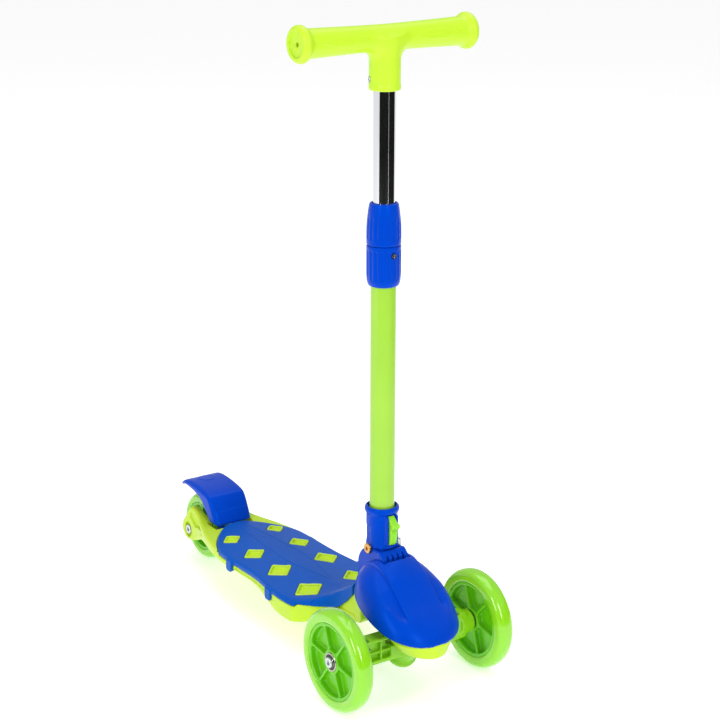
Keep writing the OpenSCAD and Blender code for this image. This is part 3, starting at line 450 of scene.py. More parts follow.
# Chromed steel tube: a mirror with hair-fine lines along its length
chrome = metal("chromed_steel", "#e6e7ea", 0.05, streak_mm=(0.4, 0.4, 60), streak=0.025)
# Bright zinc plating: pale, slightly cloudy
zinc = metal("zinc_plated_steel", "#c9ccd2", 0.24, streak_mm=(1.2, 1.2, 1.2))
# Yellow-passivated zinc on the fold bolt: brassy with a warm bloom
yellow_zinc = metal("yellow_passivated_steel", "#d8a668", 0.27, streak_mm=(1.5, 1.5, 1.5))
# Ground bearing rings and drawn spring wire
bearing_steel = metal("ground_bearing_steel", "#b9b4a8", 0.2, streak_mm=(3, 0.4, 0.4))
spring_steel = metal("drawn_spring_wire", "#8f9196", 0.3, streak_mm=(0.5, 0.5, 3))

SLOT_MATERIALS = {
    "base_plastic": base_pp, "blue_plastic": blue_abs, "mat_plastic": mat_pp,
    "zinc_screw": zinc, "zinc_steel": zinc, "brass_bolt": yellow_zinc,
    "spring_steel": spring_steel, "lime_plastic": lime_pp, "bush_plastic": white_acetal,
    "black_plastic": black_nylon, "tyre_urethane": tyre_pu, "core_plastic": core_pp,
    "bearing_steel": bearing_steel, "lime_paint": lime_powder, "chrome_tube": chrome,
}
for row in frame["record"]["subparts"]:
    shown = frame["nodes"][row["node"]]
    shown.data.materials.clear()
    shown.data.materials.append(SLOT_MATERIALS[row["material_slot"]])

# ----------------------------------------------------------------- shared shape tools
def ease(t):
    """0 to 1, smoothly, as t goes from 0 to 1."""
    t = np.clip(t, 0, 1)
    return t * t * (3 - 2 * t)


def level(field, u, v, h=0.4):
    """A function of two places divided by its slope, so that it reads as a distance."""
    slope = length(field(u + h, v) - field(u - h, v), field(u, v + h) - field(u, v - h))
    return field(u, v) / np.maximum(slope / (2 * h), 0.2)


def round_rect(u, v, half_u, half_v, r):
    """Distance to a rectangle with rounded corners, about the origin."""
    a, b = np.abs(u) - half_u + r, np.abs(v) - half_v + r
    return length(np.maximum(a, 0), np.maximum(b, 0)) + np.minimum(np.maximum(a, b), 0) - r


def plate(u, v, w, outline, w0, w1, k=1.2):
    """An outline in (u, v) given a thickness from w0 to w1, with eased edges."""
    return smooth_max(polygon(u, v, outline), np.abs(w - (w0 + w1) / 2) - (w1 - w0) / 2, k)


def arc(cu, cv, r, start, stop, n=10):
    angles = np.radians(np.linspace(start, stop, n + 1))
    return [(cu + r * math.cos(a), cv + r * math.sin(a)) for a in angles]


# -------------------------------------------------------------------------- handlebar
GRIP_MID_R, GRIP_END_R = 14.25, 16.5
NECK_R = INNER_R + 4.82
TUBE_TOP = stem_box("inner_tube")[1][2]
SCREW_TURN = math.radians(-22)


def handlebar(x, y, z):
    side, up = np.abs(x), z - BAR_Z
    rho = length(y, up)
    grip_r = GRIP_MID_R + (GRIP_END_R - GRIP_MID_R) * (side / BAR_HALF) ** 1.5
    grip = smooth_max(rho - grip_r, side - BAR_HALF, 2)
    flange = round_rect(rho, side - (BAR_HALF - 4.7), FLANGE_R, 4.7, 4.2)
    neck_r = NECK_R + 0.3 * ease((NECK_LOW + 7 - z) / 1.5)
    neck = smooth_max(length(x, y) - neck_r, np.abs(z - (NECK_LOW + BAR_Z) / 2)
                      - (BAR_Z - NECK_LOW) / 2, 2.4)
    shape = smooth_min(smooth_min(grip, flange, 4.5), neck, 13)
    # plain raised lens on each half, and a faint bulge where the neck meets the bar
    lens = 6.2 * (1 - ((side - 60) / 31) ** 2) - np.abs(up - 1.5)
    shape = shape - 0.55 * ease(lens / 0.9) * (y < 0) + 0.25 * ease((lens - 1.6) / 0.8) * (y < 0)
    bulge = 1 - (x / 7) ** 2 - ((up + 6) / 15) ** 2
    shape = shape - 0.5 * ease(bulge) * (y < 0)
    shape = cut(shape, rod(x, y, z, INNER_R + 0.05, NECK_LOW - 5, TUBE_TOP + 0.3, 0.2), 0.8)
    shape = cut(shape, rod(y, up, side, 13.7, BAR_HALF - 1.2, BAR_HALF + 5), 0.7)
    shape = cut(shape, rod(y, up, side, 2.7, BAR_HALF - 40, BAR_HALF + 5), 0.5)
    along = -x * math.cos(SCREW_TURN) - y * math.sin(SCREW_TURN)
    across = -x * math.sin(SCREW_TURN) + y * math.cos(SCREW_TURN)
    pocket = rod(across, z - NECK_LOW - 12, along, 3.6, NECK_R - 1.6, NECK_R + 5)
    return cut(cut(shape, pocket, 0.6), rod(across, z - NECK_LOW - 12, along, 1.6,
                                            INNER_R - 2, NECK_R), 0.3)


finish_piece(field_mesh("t_handlebar", handlebar, (-BAR_HALF - 2, -22, NECK_LOW - 2),
                        (BAR_HALF + 2, 22, BAR_Z + 22), 1.0, bar_pp),
             "handlebar", ["handlebar"])


# ---------------------------------------------------------------------------- collars
FLUTES = 18
COLLAR_MID = clamp_lo[2] - 0.3
SLEEVE_R = STEM_R + 2


def flutes(x, y, depth):
    """Narrow lengthwise grooves between broad ribs."""
    wave = 0.5 - 0.5 * np.cos(FLUTES * np.arctan2(y, x))
    return depth * ease(wave * 1.5 - 0.45)


def collar_base(x, y, z):
    low, high = collar_lo[2], COLLAR_MID
    rho = length(x, y)
    reach = profile(z, [(low, STEM_R + 0.7), (low + 0.8, STEM_R + 2.2), (low + 3, STEM_R + 3.5),
                        (low + 7, STEM_R + 4.4), (low + 15, COLLAR_R)])
    grooved = ease((z - low - 7) / 7) * ease((high - 4.5 - z) / 1.2)
    outer = rho - reach + flutes(x, y, 0.75) * grooved
    outer = smooth_max(outer, np.abs(z - (low + high) / 2) - (high - low) / 2, 1.6)
    sleeve = rod(x, y, z, SLEEVE_R, high - 4, high + 15)
    shape = np.minimum(outer, sleeve)
    shape = cut(shape, rod(x, y, z, STEM_R + 0.04, low - 5, high + 20), 0.3)
    return cut(shape, rod(x, z - high + 10, -y, 3.4, COLLAR_R - 1.4, COLLAR_R + 6), 0.5)


def clamp_nut(x, y, z):
    low, high = clamp_lo[2], clamp_hi[2]
    rho = length(x, y)
    reach = profile(z, [(low, COLLAR_R), (low + 14, COLLAR_R), (high - 24, COLLAR_R - 0.35),
                        (high - 13, COLLAR_R - 1.3), (high - 4, INNER_R + 4.3),
                        (high - 1, INNER_R + 3.5), (high, INNER_R + 2.9)])
    grooved = ease((z - low - 6.5) / 1.4) * ease((high - 9 - z) / 14)
    outer = rho - reach + flutes(x, y, 0.8) * grooved
    outer = smooth_max(outer, np.abs(z - (low + high) / 2) - (high - low) / 2, 1.8)
    shape = cut(outer, rod(x, y, z, INNER_R + 0.9, low - 5, high + 5), 0.8)
    return cut(shape, rod(x, y, z, SLEEVE_R + 0.06, low - 5, COLLAR_MID + 16), 0.6)


reach = COLLAR_R + 1.5
finish_piece(field_mesh("collar_lower", collar_base, (-reach, -reach, collar_lo[2] - 1.5),
                        (reach, reach, COLLAR_MID + 17), 0.7, blue_abs),
             "stem", ["collar_base"])
finish_piece(field_mesh("collar_clamp_nut", clamp_nut, (-reach, -reach, clamp_lo[2] - 1.5),
                        (reach, reach, clamp_hi[2] + 1.5), 0.7, blue_abs),
             "clamp_nut", ["clamp_nut"])

# ------------------------------------------------------------------- head and bracket
PIVOT_Z = float(sum(c[2] for c in stem_box("fold_bolt")) / 2)
HEAD_LOW = PIVOT_Z + 1
TUBE_LOW = stem_lo[2] - 0.3
LEVER_HALF = stem_box("latch_lever")[1][0]
LEVER_PIN_Y, LEVER_PIN_Z = -HEAD_R - 1.2, PIVOT_Z + 24
CHEEK_IN, CHEEK_OUT, TONGUE_R = 12.6, 18.0, 15.5
BRACKET_LOW = stem_box("fold_bracket")[0][2]
BRACKET_SCREWS = [(-7, -17), (7, -17), (-7, 9), (7, 9)]


def head_tube(x, y, z):
    rho = length(x, y)
    tube = smooth_max(rho - HEAD_R, np.abs(z - (HEAD_LOW + HEAD_TOP - 5) / 2)
                      - (HEAD_TOP - 5 - HEAD_LOW) / 2, 1)
    rim = length(rho - HEAD_R + 0.95, (z - HEAD_TOP + 4.7) * 0.72) - 3.0
    shape = smooth_min(tube, rim, 1.6)
    tongue = rod(y, z - PIVOT_Z, x, TONGUE_R, -CHEEK_IN + 0.4, CHEEK_IN - 0.4)
    shape = smooth_min(shape, tongue, 1)
    frame_strip = block(np.abs(x), y, z, (LEVER_HALF + 1.7, LEVER_PIN_Y + 1, LEVER_PIN_Z),
                        (1.3, 3.6, 18), 1.0)
    shape = smooth_min(shape, frame_strip, 1.2)
    shape = cut(shape, rod(x, y, z, STEM_R + 0.03, TUBE_LOW, HEAD_TOP + 9), 0.5)
    shape = cut(shape, rod(x, y, z, STEM_R + 1.9, HEAD_TOP - 6, HEAD_TOP + 9), 0.8)
    notch = block(x, y, z, (-11, 12, HEAD_TOP - 3.5), (2.4, 2.4, 3), 0.5)
    shape = cut(shape, notch, 0.5)
    shape = cut(shape, rod(y, z - PIVOT_Z, x, 4.05, -60, 60), 0.5)
    flank = block(np.abs(x), y, z, (CHEEK_IN + 9.6, 17.5, HEAD_LOW + 12.5), (10, 20, 13.5), 0.5)
    flank = smooth_max(flank, STEM_R + 1.3 - rho - 60 * (z < TUBE_LOW - 0.8), 0.3)
    shape = cut(shape, flank, 0.8)
    slot = block(x, y, z, (0, -HEAD_R - 8.6, LEVER_PIN_Z + 0.3), (LEVER_HALF + 0.4, 11.4, 19.2), 0.8)
    return cut(shape, slot, 0.6)


def latch_lever(x, y, z):
    y0, pz, top = LEVER_PIN_Y + 2.2, LEVER_PIN_Z, PIVOT_Z + 44
    side = [(y0, pz - 16), (y0 - 3.2, pz - 17.6), (y0 - 6.2, pz - 15.2), (y0 - 7.6, pz - 9),
            (y0 - 8.2, pz + 0.5), (y0 - 12.6, pz + 5.5), (y0 - 13, pz + 9.2), (y0 - 6.5, top - 8),
            (y0 - 0.8, top - 2.3), (y0, top - 3.5)]
    shape = plate(y, z, x, side, -LEVER_HALF, LEVER_HALF, 1.8)
    # a shallow thumb recess in the lower front
    shape = smooth_max(shape, -block(x, y, z, (0, y0 - 10, pz - 6.5), (2.9, 2.6, 5.2), 0.8), 1.0)
    return cut(shape, rod(y - LEVER_PIN_Y, z - pz, x, 1.3, -20, 20), 0.4)


def fold_bracket(x, y, z):
    side = np.abs(x)
    front = -HEAD_R - 10
    cheek = arc(-4, PIVOT_Z - 27, 28, 0, 84, 16) + [
        (-10, PIVOT_Z + 0.5), (-HEAD_R - 0.5, PIVOT_Z + 0.5), (-HEAD_R - 2.5, PIVOT_Z - 3),
        (front - 0.5, BRACKET_LOW + 34), (front, BRACKET_LOW), (24, BRACKET_LOW)]
    shape = plate(y, z, side, cheek, CHEEK_IN, CHEEK_OUT, 2.4)
    foot = block(x, y, z, (0, (front + 22) / 2, BRACKET_LOW + 3.5),
                 (CHEEK_OUT, (22 - front) / 2, 3.5), 1)
    skirt_line = [(-HEAD_R - 3.2, PIVOT_Z + 0.5), (-HEAD_R, PIVOT_Z + 0.5),
                  (-TONGUE_R - 1.5, BRACKET_LOW + 6), (front + 1, BRACKET_LOW + 6),
                  (front - 1.4, BRACKET_LOW + 24), (front - 0.5, PIVOT_Z - 6)]
    skirt = plate(y, z, x, skirt_line, -CHEEK_OUT, CHEEK_OUT, 1.6)
    slots = block(((x + 3.6 * 2) % 7.2) - 3.6, y, z, (0, front - 0.5, PIVOT_Z - 9),
                  (1.3, 4.4, 6.5), 0.6)
    skirt = smooth_max(skirt, -np.where(np.abs(x) < 14.4, slots, 9), 0.8)
    shape = smooth_min(smooth_min(shape, foot, 1), skirt, 1.4)
    shape = cut(shape, rod(y, z - PIVOT_Z, x, 4.05, -60, 60), 0.5)
    seat = rod(y, z - PIVOT_Z, -x, 7.2, HEAD_R - 0.3, HEAD_R + 9)
    shape = cut(shape, seat, 0.4)
    for sx, sy in BRACKET_SCREWS:
        shape = cut(shape, rod(x - sx, y - sy, z, 2.2, BRACKET_LOW - 5, BRACKET_LOW + 10), 0.3)
    swing = arc(0, PIVOT_Z, 30, 0, 90, 10) + [(1, PIVOT_Z + 30), (1, PIVOT_Z - 1.5)]
    return cut(shape, polygon(y, z, swing) + 0 * x, 0.8)


finish_piece(field_mesh("fold_head", head_tube, (-23, -26, PIVOT_Z - 18),
                        (23, 23, HEAD_TOP + 1.5), 0.8, blue_abs),
             "stem", ["head_tube"])
finish_piece(field_mesh("fold_latch_lever", latch_lever, (-6.5, -34, PIVOT_Z + 4),
                        (6.5, -15, PIVOT_Z + 45), 0.45, lever_pp),
             "latch", ["latch_lever"])
finish_piece(field_mesh("fold_cheek_bracket", fold_bracket, (-20, -34, BRACKET_LOW - 1.5),
                        (20, 26, PIVOT_Z + 2.5), 0.8, blue_abs),
             "chassis", ["fold_bracket"])

# ------------------------------------------------------------------------------- hood
HOOD_MID_Y, HOOD_HALF, HOOD_FRONT, HOOD_REAR = FRONT_Y + 2, 54.5, 61.0, 70.0
HOOD_LIP_Z, HOOD_WALL, HOOD_SWELL, LIP = 73.0, 2.6, 19.0, 4.5


def hood_reach(x, y):
    """1 at the hood's rim and 0 in its middle."""
    v = y - HOOD_MID_Y
    reach = np.where(v < 0, HOOD_FRONT, HOOD_REAR)
    return ((np.abs(x) / HOOD_HALF) ** 2.23 + (np.abs(v) / reach) ** 2.23) ** (1 / 2.23)


def hood_rim(y):
    return HOOD_LIP_Z + 0.33 * np.maximum(0, y - HOOD_MID_Y + HOOD_FRONT)


def hood_top(x, y):
    r = np.minimum(hood_reach(x, y), 0.996)
    dome = 33 - 0.24 * np.maximum(0, HOOD_MID_Y - y)
    frontness = ease((HOOD_MID_Y - 8 - y) / 34)
    lip, power = LIP * frontness, 0.5 + 0.25 * frontness
    top = hood_rim(y) + lip + (dome - lip) * (1 - r ** 5) ** power
    swell = ease((y + 84) / 54) * ease((14 - y) / 44) * np.maximum(1 - (x / 50) ** 2, 0)
    top = top + HOOD_SWELL * swell
    # a leaf-shaped scoop on each flank, sharp along its inner edge
    side = np.abs(x)
    inner = np.interp(y, [-93, -90, -84, -60, 10], [29, 27.4, 26.3, 26, 25.4])
    outer = np.interp(y, [-93, -83, -72, -66, -58, -49, -30, 10], [29, 36, 40, 44, 46, 47.6, 50, 53])
    across = (side - inner) / np.maximum(outer - inner, 0.5)
    depth = 5.2 * ease((y + 93) / 16) * ease((12 - y) / 45)
    scoop = depth * np.maximum(1 - np.maximum(across, 0) ** 1.6, 0)
    return top - scoop * ease((side - inner + 0.9) / 1.0)


def hood(x, y, z):
    h = 0.5
    slope = length((hood_top(x + h, y) - hood_top(x - h, y)) / (2 * h),
                   (hood_top(x, y + h) - hood_top(x, y - h)) / (2 * h), 1.0)
    top = (z - hood_top(x, y)) / slope
    side = level(lambda u, v: hood_reach(u, v) - 1, x, y)
    outer = smooth_max(top, side, 1.1)
    inner = outer + HOOD_WALL
    rim = (hood_rim(y) - z) * 0.95
    shape = smooth_max(smooth_max(outer, -inner, 0.4), rim, 0.8)
    for sx in (-19, 19):
        boss = rod(x - sx, y - HOOD_MID_Y + 39, z, 3.4, HOOD_LIP_Z + 5, HOOD_LIP_Z + 25, 0.4)
        shape = cut(np.minimum(shape, boss), rod(x - sx, y - HOOD_MID_Y + 39, z, 1.8, HOOD_LIP_Z,
                                                 HOOD_LIP_Z + 22), 0.3)
    notch = block(x, y, z, (0, 34.5, 125), (CHEEK_OUT + 0.7, 66, 66), 1.5)
    return cut(shape, notch, 0.8)


finish_piece(field_mesh("truck_hood", hood, (-57, HOOD_MID_Y - 63.5, HOOD_LIP_Z - 2),
                        (57, HOOD_MID_Y + 72, 150), 1.05, blue_abs),
             "chassis", ["hood"])

# -------------------------------------------------------------------------------- deck
DECK_HALF, FRONT_HALF, NECK_HALF, MAT_REAR_Y = 62.0, 69.0, 27.0, REAR_Y - 74
MAT_EDGE_Z, MAT_TOP_Z, MAT_T, STRIP_Z, SWEEP_Y = 62.0, 75.0, 3.0, 54.0, 18.0
WINDOWS = [(MAT_REAR_Y - back, 13.5 + 2.35 * i, 33 + 0.7 * i)
           for i, back in enumerate((46, 103, 164, 231))]
CLIPS = [(MAT_REAR_Y - 90, DECK_HALF),
         (MAT_REAR_Y - 191, (DECK_HALF + 3 * FRONT_HALF) / 4)]
mat_side = through([(0, MAT_REAR_Y), (18, MAT_REAR_Y - 2), (41, MAT_REAR_Y - 24),
                    (DECK_HALF - 4, MAT_REAR_Y - 52), (DECK_HALF, MAT_REAR_Y - 82), (DECK_HALF, 190),
                    (65.5, 158), (FRONT_HALF, 128), (FRONT_HALF, 104), (FRONT_HALF - 2, 89),
                    (FRONT_HALF - 18, 71), (NECK_HALF + 8, 58), (NECK_HALF + 1, 45),
                    (NECK_HALF, 30), (NECK_HALF, SWEEP_Y)], 4)
MAT_PLAN = mirrored(mat_side)
CREST = [(15, 110), (SWEEP_Y, 110), (32, 100), (50, 88), (72, 78.5), (100, MAT_TOP_Z),
         (MAT_REAR_Y, MAT_TOP_Z)]
PLATEAU = [(88, 0), (116, 2.7), (145, 8.9), (169, 12.7), (190, 15.2), (205, 14.7), (219, 13.6),
           (244, 12.6), (269, 11), (292, 8.8), (310, 5), (330, 0)]
MAT_LOW = [(12, 103), (25, 89.5), (35, 79), (50, 66.5), (60, 65), (87.5, 65), (89.5, MAT_EDGE_Z),
           (MAT_REAR_Y, MAT_EDGE_Z)]


def deck_top(x, y):
    """Height of the mat: a flat leaf along its middle, falling to both sides."""
    side = np.abs(x)
    fall = np.maximum(side - np.interp(y, *zip(*PLATEAU)), 0)
    flat = ease((y - 60) / 50)
    return profile(y, CREST) - 0.108 * fall * flat - (1 - flat) * side ** 2 / 700


def front_round(y):
    """How much softer the mat's edge turns over where the deck begins to rise."""
    return 7 * ease((130 - y) / 45) * ease((y - 50) / 15)


def crease(x, y):
    """The fine groove where the mat's middle leaf meets its falling sides."""
    off = np.abs(np.abs(x) - np.interp(y, *zip(*PLATEAU)))
    return 0.9 * np.maximum(1 - off / 1.5, 0) * ease((y - 96) / 20) * ease((326 - y) / 20)


def over_deck(x, y, z, down=0.0):
    slope = length(1, (deck_top(x, y + 1) - deck_top(x, y - 1)) / 2)
    return (z - deck_top(x, y) + down) / slope


def diamond(x, y, at_y, r, at_x, grow=0.0):
    """Distance to a round-cornered square standing on its corner."""
    u, v = (np.abs(x) - at_x), y - at_y
    return round_rect((u + v) * 0.7071, (u - v) * 0.7071, r * 0.7071 + grow, r * 0.7071 + grow, 2.4)


def windows(x, y, grow=0.0):
    return np.minimum.reduce([diamond(x, y, *place, grow) for place in WINDOWS])


def deck_mat(x, y, z):
    plan = polygon(x, y, MAT_PLAN)
    top = over_deck(x, y, z) + crease(x, y)
    shape = smooth_max(top, plan, 4.5 + front_round(y))
    room = smooth_max(over_deck(x, y, z, MAT_T), plan + MAT_T, 2 + front_round(y))
    shape = smooth_max(shape, -room, 0.6)
    shape = smooth_max(shape, (np.interp(y, *zip(*MAT_LOW)) - z) * 0.9, 0.9)
    shape = smooth_max(shape, -windows(x, y), 0.9)
    rear_gate = block(x, y, z, (0, SWEEP_Y - 3 + MAT_T / 2, 90), (90, 4.5, 60), 0.5)
    shape = cut(shape, rear_gate, 0.6)
    shape = cut(shape, block(x, y, z, (0, -20, 140), (CHEEK_OUT + 0.5, 45, 40), 0.5), 0.5)
    for clip_y, clip_x in CLIPS:
        v = y - clip_y
        side = np.abs(x) - clip_x
        outline = [(-6.6, 67), (-6.6, 55.5), (-3.4, 51.2), (4.6, 51.2), (6.6, 54), (6.6, 67)]
        leg = plate(v, z, side, outline, -1, 2.6, 1.4)
        foot = block(side, v, z, (-1, 0, 52.8), (3.2, 3.6, 1.0), 0.7)
        shape = smooth_min(shape, smooth_min(leg, foot, 0.8), 1.2)
    return shape


def inside_neck(x, y, z, grow=0.0):
    """The upright web that joins the deck to the bridge under the hood."""
    line = [(SWEEP_Y - 10, 64), (SWEEP_Y - 6, 59), (SWEEP_Y + 4, 57), (40, 53), (62, 51), (62, 78),
            (46, 84), (SWEEP_Y + 8, 102), (SWEEP_Y - 10, 106)]
    return plate(y, z, x, line, -NECK_HALF + 3.3 - grow, NECK_HALF - 3.3 + grow, 1.5)


ARM_IN, ARM_OUT = 20.5, 30.5
BRIDGE_Z, BRIDGE_HALF = 82.5, 23.0
KING_Y, KING_Z = FRONT_Y + 3, FRONT_R - 10
KING_DIR = (-math.cos(math.radians(45)), math.sin(math.radians(45)))


def king(x, y, z):
    """Places in the king pin's frame: distance from its axis, and distance along it."""
    dy, dz = y - KING_Y, z - KING_Z
    along = dy * KING_DIR[0] + dz * KING_DIR[1]
    across = dy * KING_DIR[1] - dz * KING_DIR[0]
    return length(x, across), along


def fork(x, y, z):
    side = np.abs(x)
    outer = through([(ARM_OUT, REAR_Y + 16), (ARM_OUT, REAR_Y - 16), (ARM_OUT + 3, REAR_Y - 32),
                     (41, REAR_Y - 54), (51, REAR_Y - 84), (DECK_HALF - 4, REAR_Y - 112),
                     (DECK_HALF - 1, REAR_Y - 134),
                     (DECK_HALF - 1, REAR_Y - 158)], 4)
    wide = side - np.interp(y, *zip(*sorted((v, u) for u, v in outer)))
    line = [(REAR_Y - 158, STRIP_Z)] + [(REAR_Y - 158, 68), (MAT_REAR_Y - 52, 68.5)] + through(
        [(MAT_REAR_Y, 69), (REAR_Y - 56, 70), (REAR_Y - 44, 72), (REAR_Y - 30, 76.5),
         (REAR_Y - 14, 80.5), (REAR_Y - 6, 79), (REAR_Y + 5, 66), (REAR_Y + 15, 54),
         (REAR_Y + 17.5, 44), (REAR_Y + 12, 34), (REAR_Y + 2, 29.5), (REAR_Y - 8, 31),
         (REAR_Y - 26, 38), (REAR_Y - 50, 48), (REAR_Y - 78, 53), (REAR_Y - 110, STRIP_Z)], 3)
    return smooth_max(polygon(y, z, line), wide, 4.5)


def deck_base(x, y, z):
    side = np.abs(x)
    plan = polygon(x, y, MAT_PLAN) + 1.0
    low = profile(y, [(SWEEP_Y - 3, 57), (40, 50), (70, 43), (90, 40.5), (112, 40), (134, 42.5),
                      (156, 48), (186, 53), (206, STRIP_Z), (MAT_REAR_Y, STRIP_Z)])
    pan = ease((100 - y) / 40)
    tray = smooth_max(plan + 1.2 * pan, (low - z) * 0.97, 3 + 12 * pan)
    tray = smooth_max(tray, z - 61.7 - 4 * ease((89 - y) / 2.5) * 0.75, 1)
    under_mat = smooth_max(over_deck(x, y, z, MAT_T + 0.3), plan + MAT_T - 0.7, 1 + front_round(y))
    under_mat = smooth_max(under_mat, 60 - z, 0.5)
    shape = np.minimum(tray, smooth_max(under_mat, 66 - y, 0.5))
    # a lengthwise groove in the edge strip between and beside the clips
    for a, b in ((CLIPS[0][0] + 9, MAT_REAR_Y - 58), (CLIPS[1][0] + 9, CLIPS[0][0] - 9)):
        groove = smooth_max(smooth_max(-plan - 1.2, np.abs(z - 58.2) - 1.3, 0.5),
                            np.abs(y - (a + b) / 2) - (b - a) / 2, 0.5)
        shape = cut(shape, smooth_max(groove, -side + 50, 0.1), 0.6)
    shape = smooth_min(shape, smooth_max(fork(x, y, z), -(plan - 1.3) * (z > 61.5) - 50 * (z < 61.5),
                                         0.8), 2)
    shape = smooth_min(shape, inside_neck(x, y, z), 3)
    # raised frames of the windows and their recessed middles
    frames = smooth_max(windows(x, y) + 0.35, over_deck(x, y, z, -1.1), 1.2)
    frames = smooth_max(frames, 64 - z, 0.5)
    shape = np.minimum(shape, frames)
    recess = smooth_max(windows(x, y) + 2.7, -over_deck(x, y, z, 2.6), 0.6)
    shape = cut(shape, recess, 0.9)
    # bridge over the truck, the king pin's seat and the chin under the hood
    bridge = block(x, y, z, (0, -34, BRIDGE_Z + 4.5), (BRIDGE_HALF, 62, 4.5), 2)
    for s in (-27, 27):
        bridge = smooth_min(bridge, rod(x - s, y - FRONT_Y, z, 8, BRIDGE_Z, BRIDGE_Z + 9), 3)
    back = block(x, y, z, (0, -8, BRIDGE_Z + 10), (NECK_HALF - 3.3, 22, 10), 2)
    shape = smooth_min(smooth_min(shape, bridge, 2), back, 2)
    rho, along = king(x, y, z)
    seat = smooth_max(rho - 16, np.abs(along - 29.2) - 12.8, 1.5)
    rise = ease((z - 55) / 26)
    chin_half, chin_reach = 26 + 15 * rise, 36.5 + 1.5 * rise
    chin = (length(x / chin_half, (y + 77) / chin_reach) - 1) * 24
    chin = smooth_max(chin, np.abs(z - 67) - 10.3, 5)
    chin_room = smooth_max(smooth_max(rho - 46, along - 16.4, 0.5), chin + 3.2, 0.5)
    chin = cut(chin, chin_room, 1)
    chin = cut(chin, block(x, y, z, (0, -6, 40), (90, 63.6, BRIDGE_Z - 40), 1), 1)
    shape = smooth_min(shape, smooth_min(seat, chin, 2), 2)
    shape = cut(shape, smooth_max(rho - 5.1, -20 - along, 0.1), 0.5)
    shape = cut(shape, smooth_max(rho - 10.5, 42 - along, 0.1), 0.5)
    # seats that are cut from it
    foot = block(x, y, z, (0, -18, 147.5), (CHEEK_OUT + 0.4, 46.4, 45), 0.4)
    shape = cut(shape, foot, 0.4)
    wheel_y = REAR_Y - REAR_R - 6
    shape = cut(shape, smooth_max(side - ARM_IN, wheel_y - y, 3), 1)
    fender_gap = block(x, y, z, (0, (wheel_y + REAR_Y - 71) / 2, 83), (28.4, (wheel_y - REAR_Y + 73) / 2
                                                                    + 0.5, 30), 1.5)
    shape = cut(shape, fender_gap, 0.8)
    # raised rim round a sunk panel on each arm, the pocket of the axle and its hole
    panel_line = [(REAR_Y - 9, 74), (REAR_Y - 5, 66), (REAR_Y - 20, 55), (REAR_Y - 52, 62),
                  (REAR_Y - 34, 71)]
    shape = cut(shape, plate(y, z, side, panel_line, ARM_OUT - 2.4, ARM_OUT + 30, 1.6), 1.2)
    oval = (length((y - REAR_Y) / 8.2, (z - REAR_R) / 10.5) - 1) * 8
    shape = cut(shape, smooth_max(oval, ARM_OUT - 4.2 - side, 0.6), 1)
    shape = cut(shape, smooth_max(length(y - REAR_Y, z - REAR_R) - 4.05, ARM_IN - 1 - side, 0.1), 0.4)
    shape = cut(shape, length(y - REAR_Y + 55, z - 59) - 2.1, 0.3)
    # hollows of the underside, with ribs left between them
    row = (MAT_REAR_Y - 160) / 5
    for i in range(5):
        for k in (-1, 0, 1):
            hollow = block(x, y, z, (k * 32.7, 130 + (i + 0.5) * row - 1.2, 57.4),
                           (15.1, row / 2 - 1.2, 4.6), 1.6)
            shape = cut(shape, hollow, 0.8)
    for clip_y, clip_x in CLIPS:
        pocket = block(side, y, z, (clip_x + 5.5, clip_y, 48), (7.6, 5.7, 14), 0.5)
        tab = block(side, y, z, (clip_x - 7, clip_y, STRIP_Z + 3.9), (5.2, 5.6, 3.7), 0.6)
        shape = np.minimum(cut(shape, pocket, 0.5), tab)
    for sx, sy in BRACKET_SCREWS:
        shape = cut(shape, rod(x - sx, y - sy, z, 2.2, 70, 120), 0.3)
    return shape


finish_piece(field_mesh("deck_mat_moulding", deck_mat, (-72, 12, 50), (72, MAT_REAR_Y + 2, 113),
                        1.35, mat_pp), "chassis", ["deck_mat"])
finish_piece(field_mesh("deck_base_moulding", deck_base, (-72, -119, 27), (72, REAR_Y + 19, 109),
                        1.45, base_pp), "chassis", ["deck_base"])

# ------------------------------------------------------------------------------ fender
FENDER_HALF, FOOT_Y, FOOT_Z = 28.0, REAR_Y - 70, MAT_TOP_Z - 1.5
FENDER_PIN = (FOOT_Y + 15, MAT_EDGE_Z - 3)
fender_top = [(FOOT_Y, FOOT_Z), (FOOT_Y + 7.5, FOOT_Z + 16.5), (FOOT_Y + 14.5, FOOT_Z + 28.5),
              (FOOT_Y + 21, FOOT_Z + 33.8), (FOOT_Y + 37, FOOT_Z + 37.6), (FOOT_Y + 60, FOOT_Z + 40),
              (FOOT_Y + 76, FOOT_Z + 39.6), (FOOT_Y + 86, FOOT_Z + 36.6), (FOOT_Y + 92, FOOT_Z + 32.5)]
fender_low = [(FOOT_Y + 91, FOOT_Z + 28.5), (FOOT_Y + 82, FOOT_Z + 31), (FOOT_Y + 60, FOOT_Z + 28.5),
              (FOOT_Y + 42, FOOT_Z + 22.5), (FOOT_Y + 30, FOOT_Z + 12), (FOOT_Y + 20, FOOT_Z + 1),
              (FOOT_Y + 16, FOOT_Z - 2), (FOOT_Y, FOOT_Z - 2)]
FENDER_LINE = through(fender_top, 5) + through(fender_low, 4)


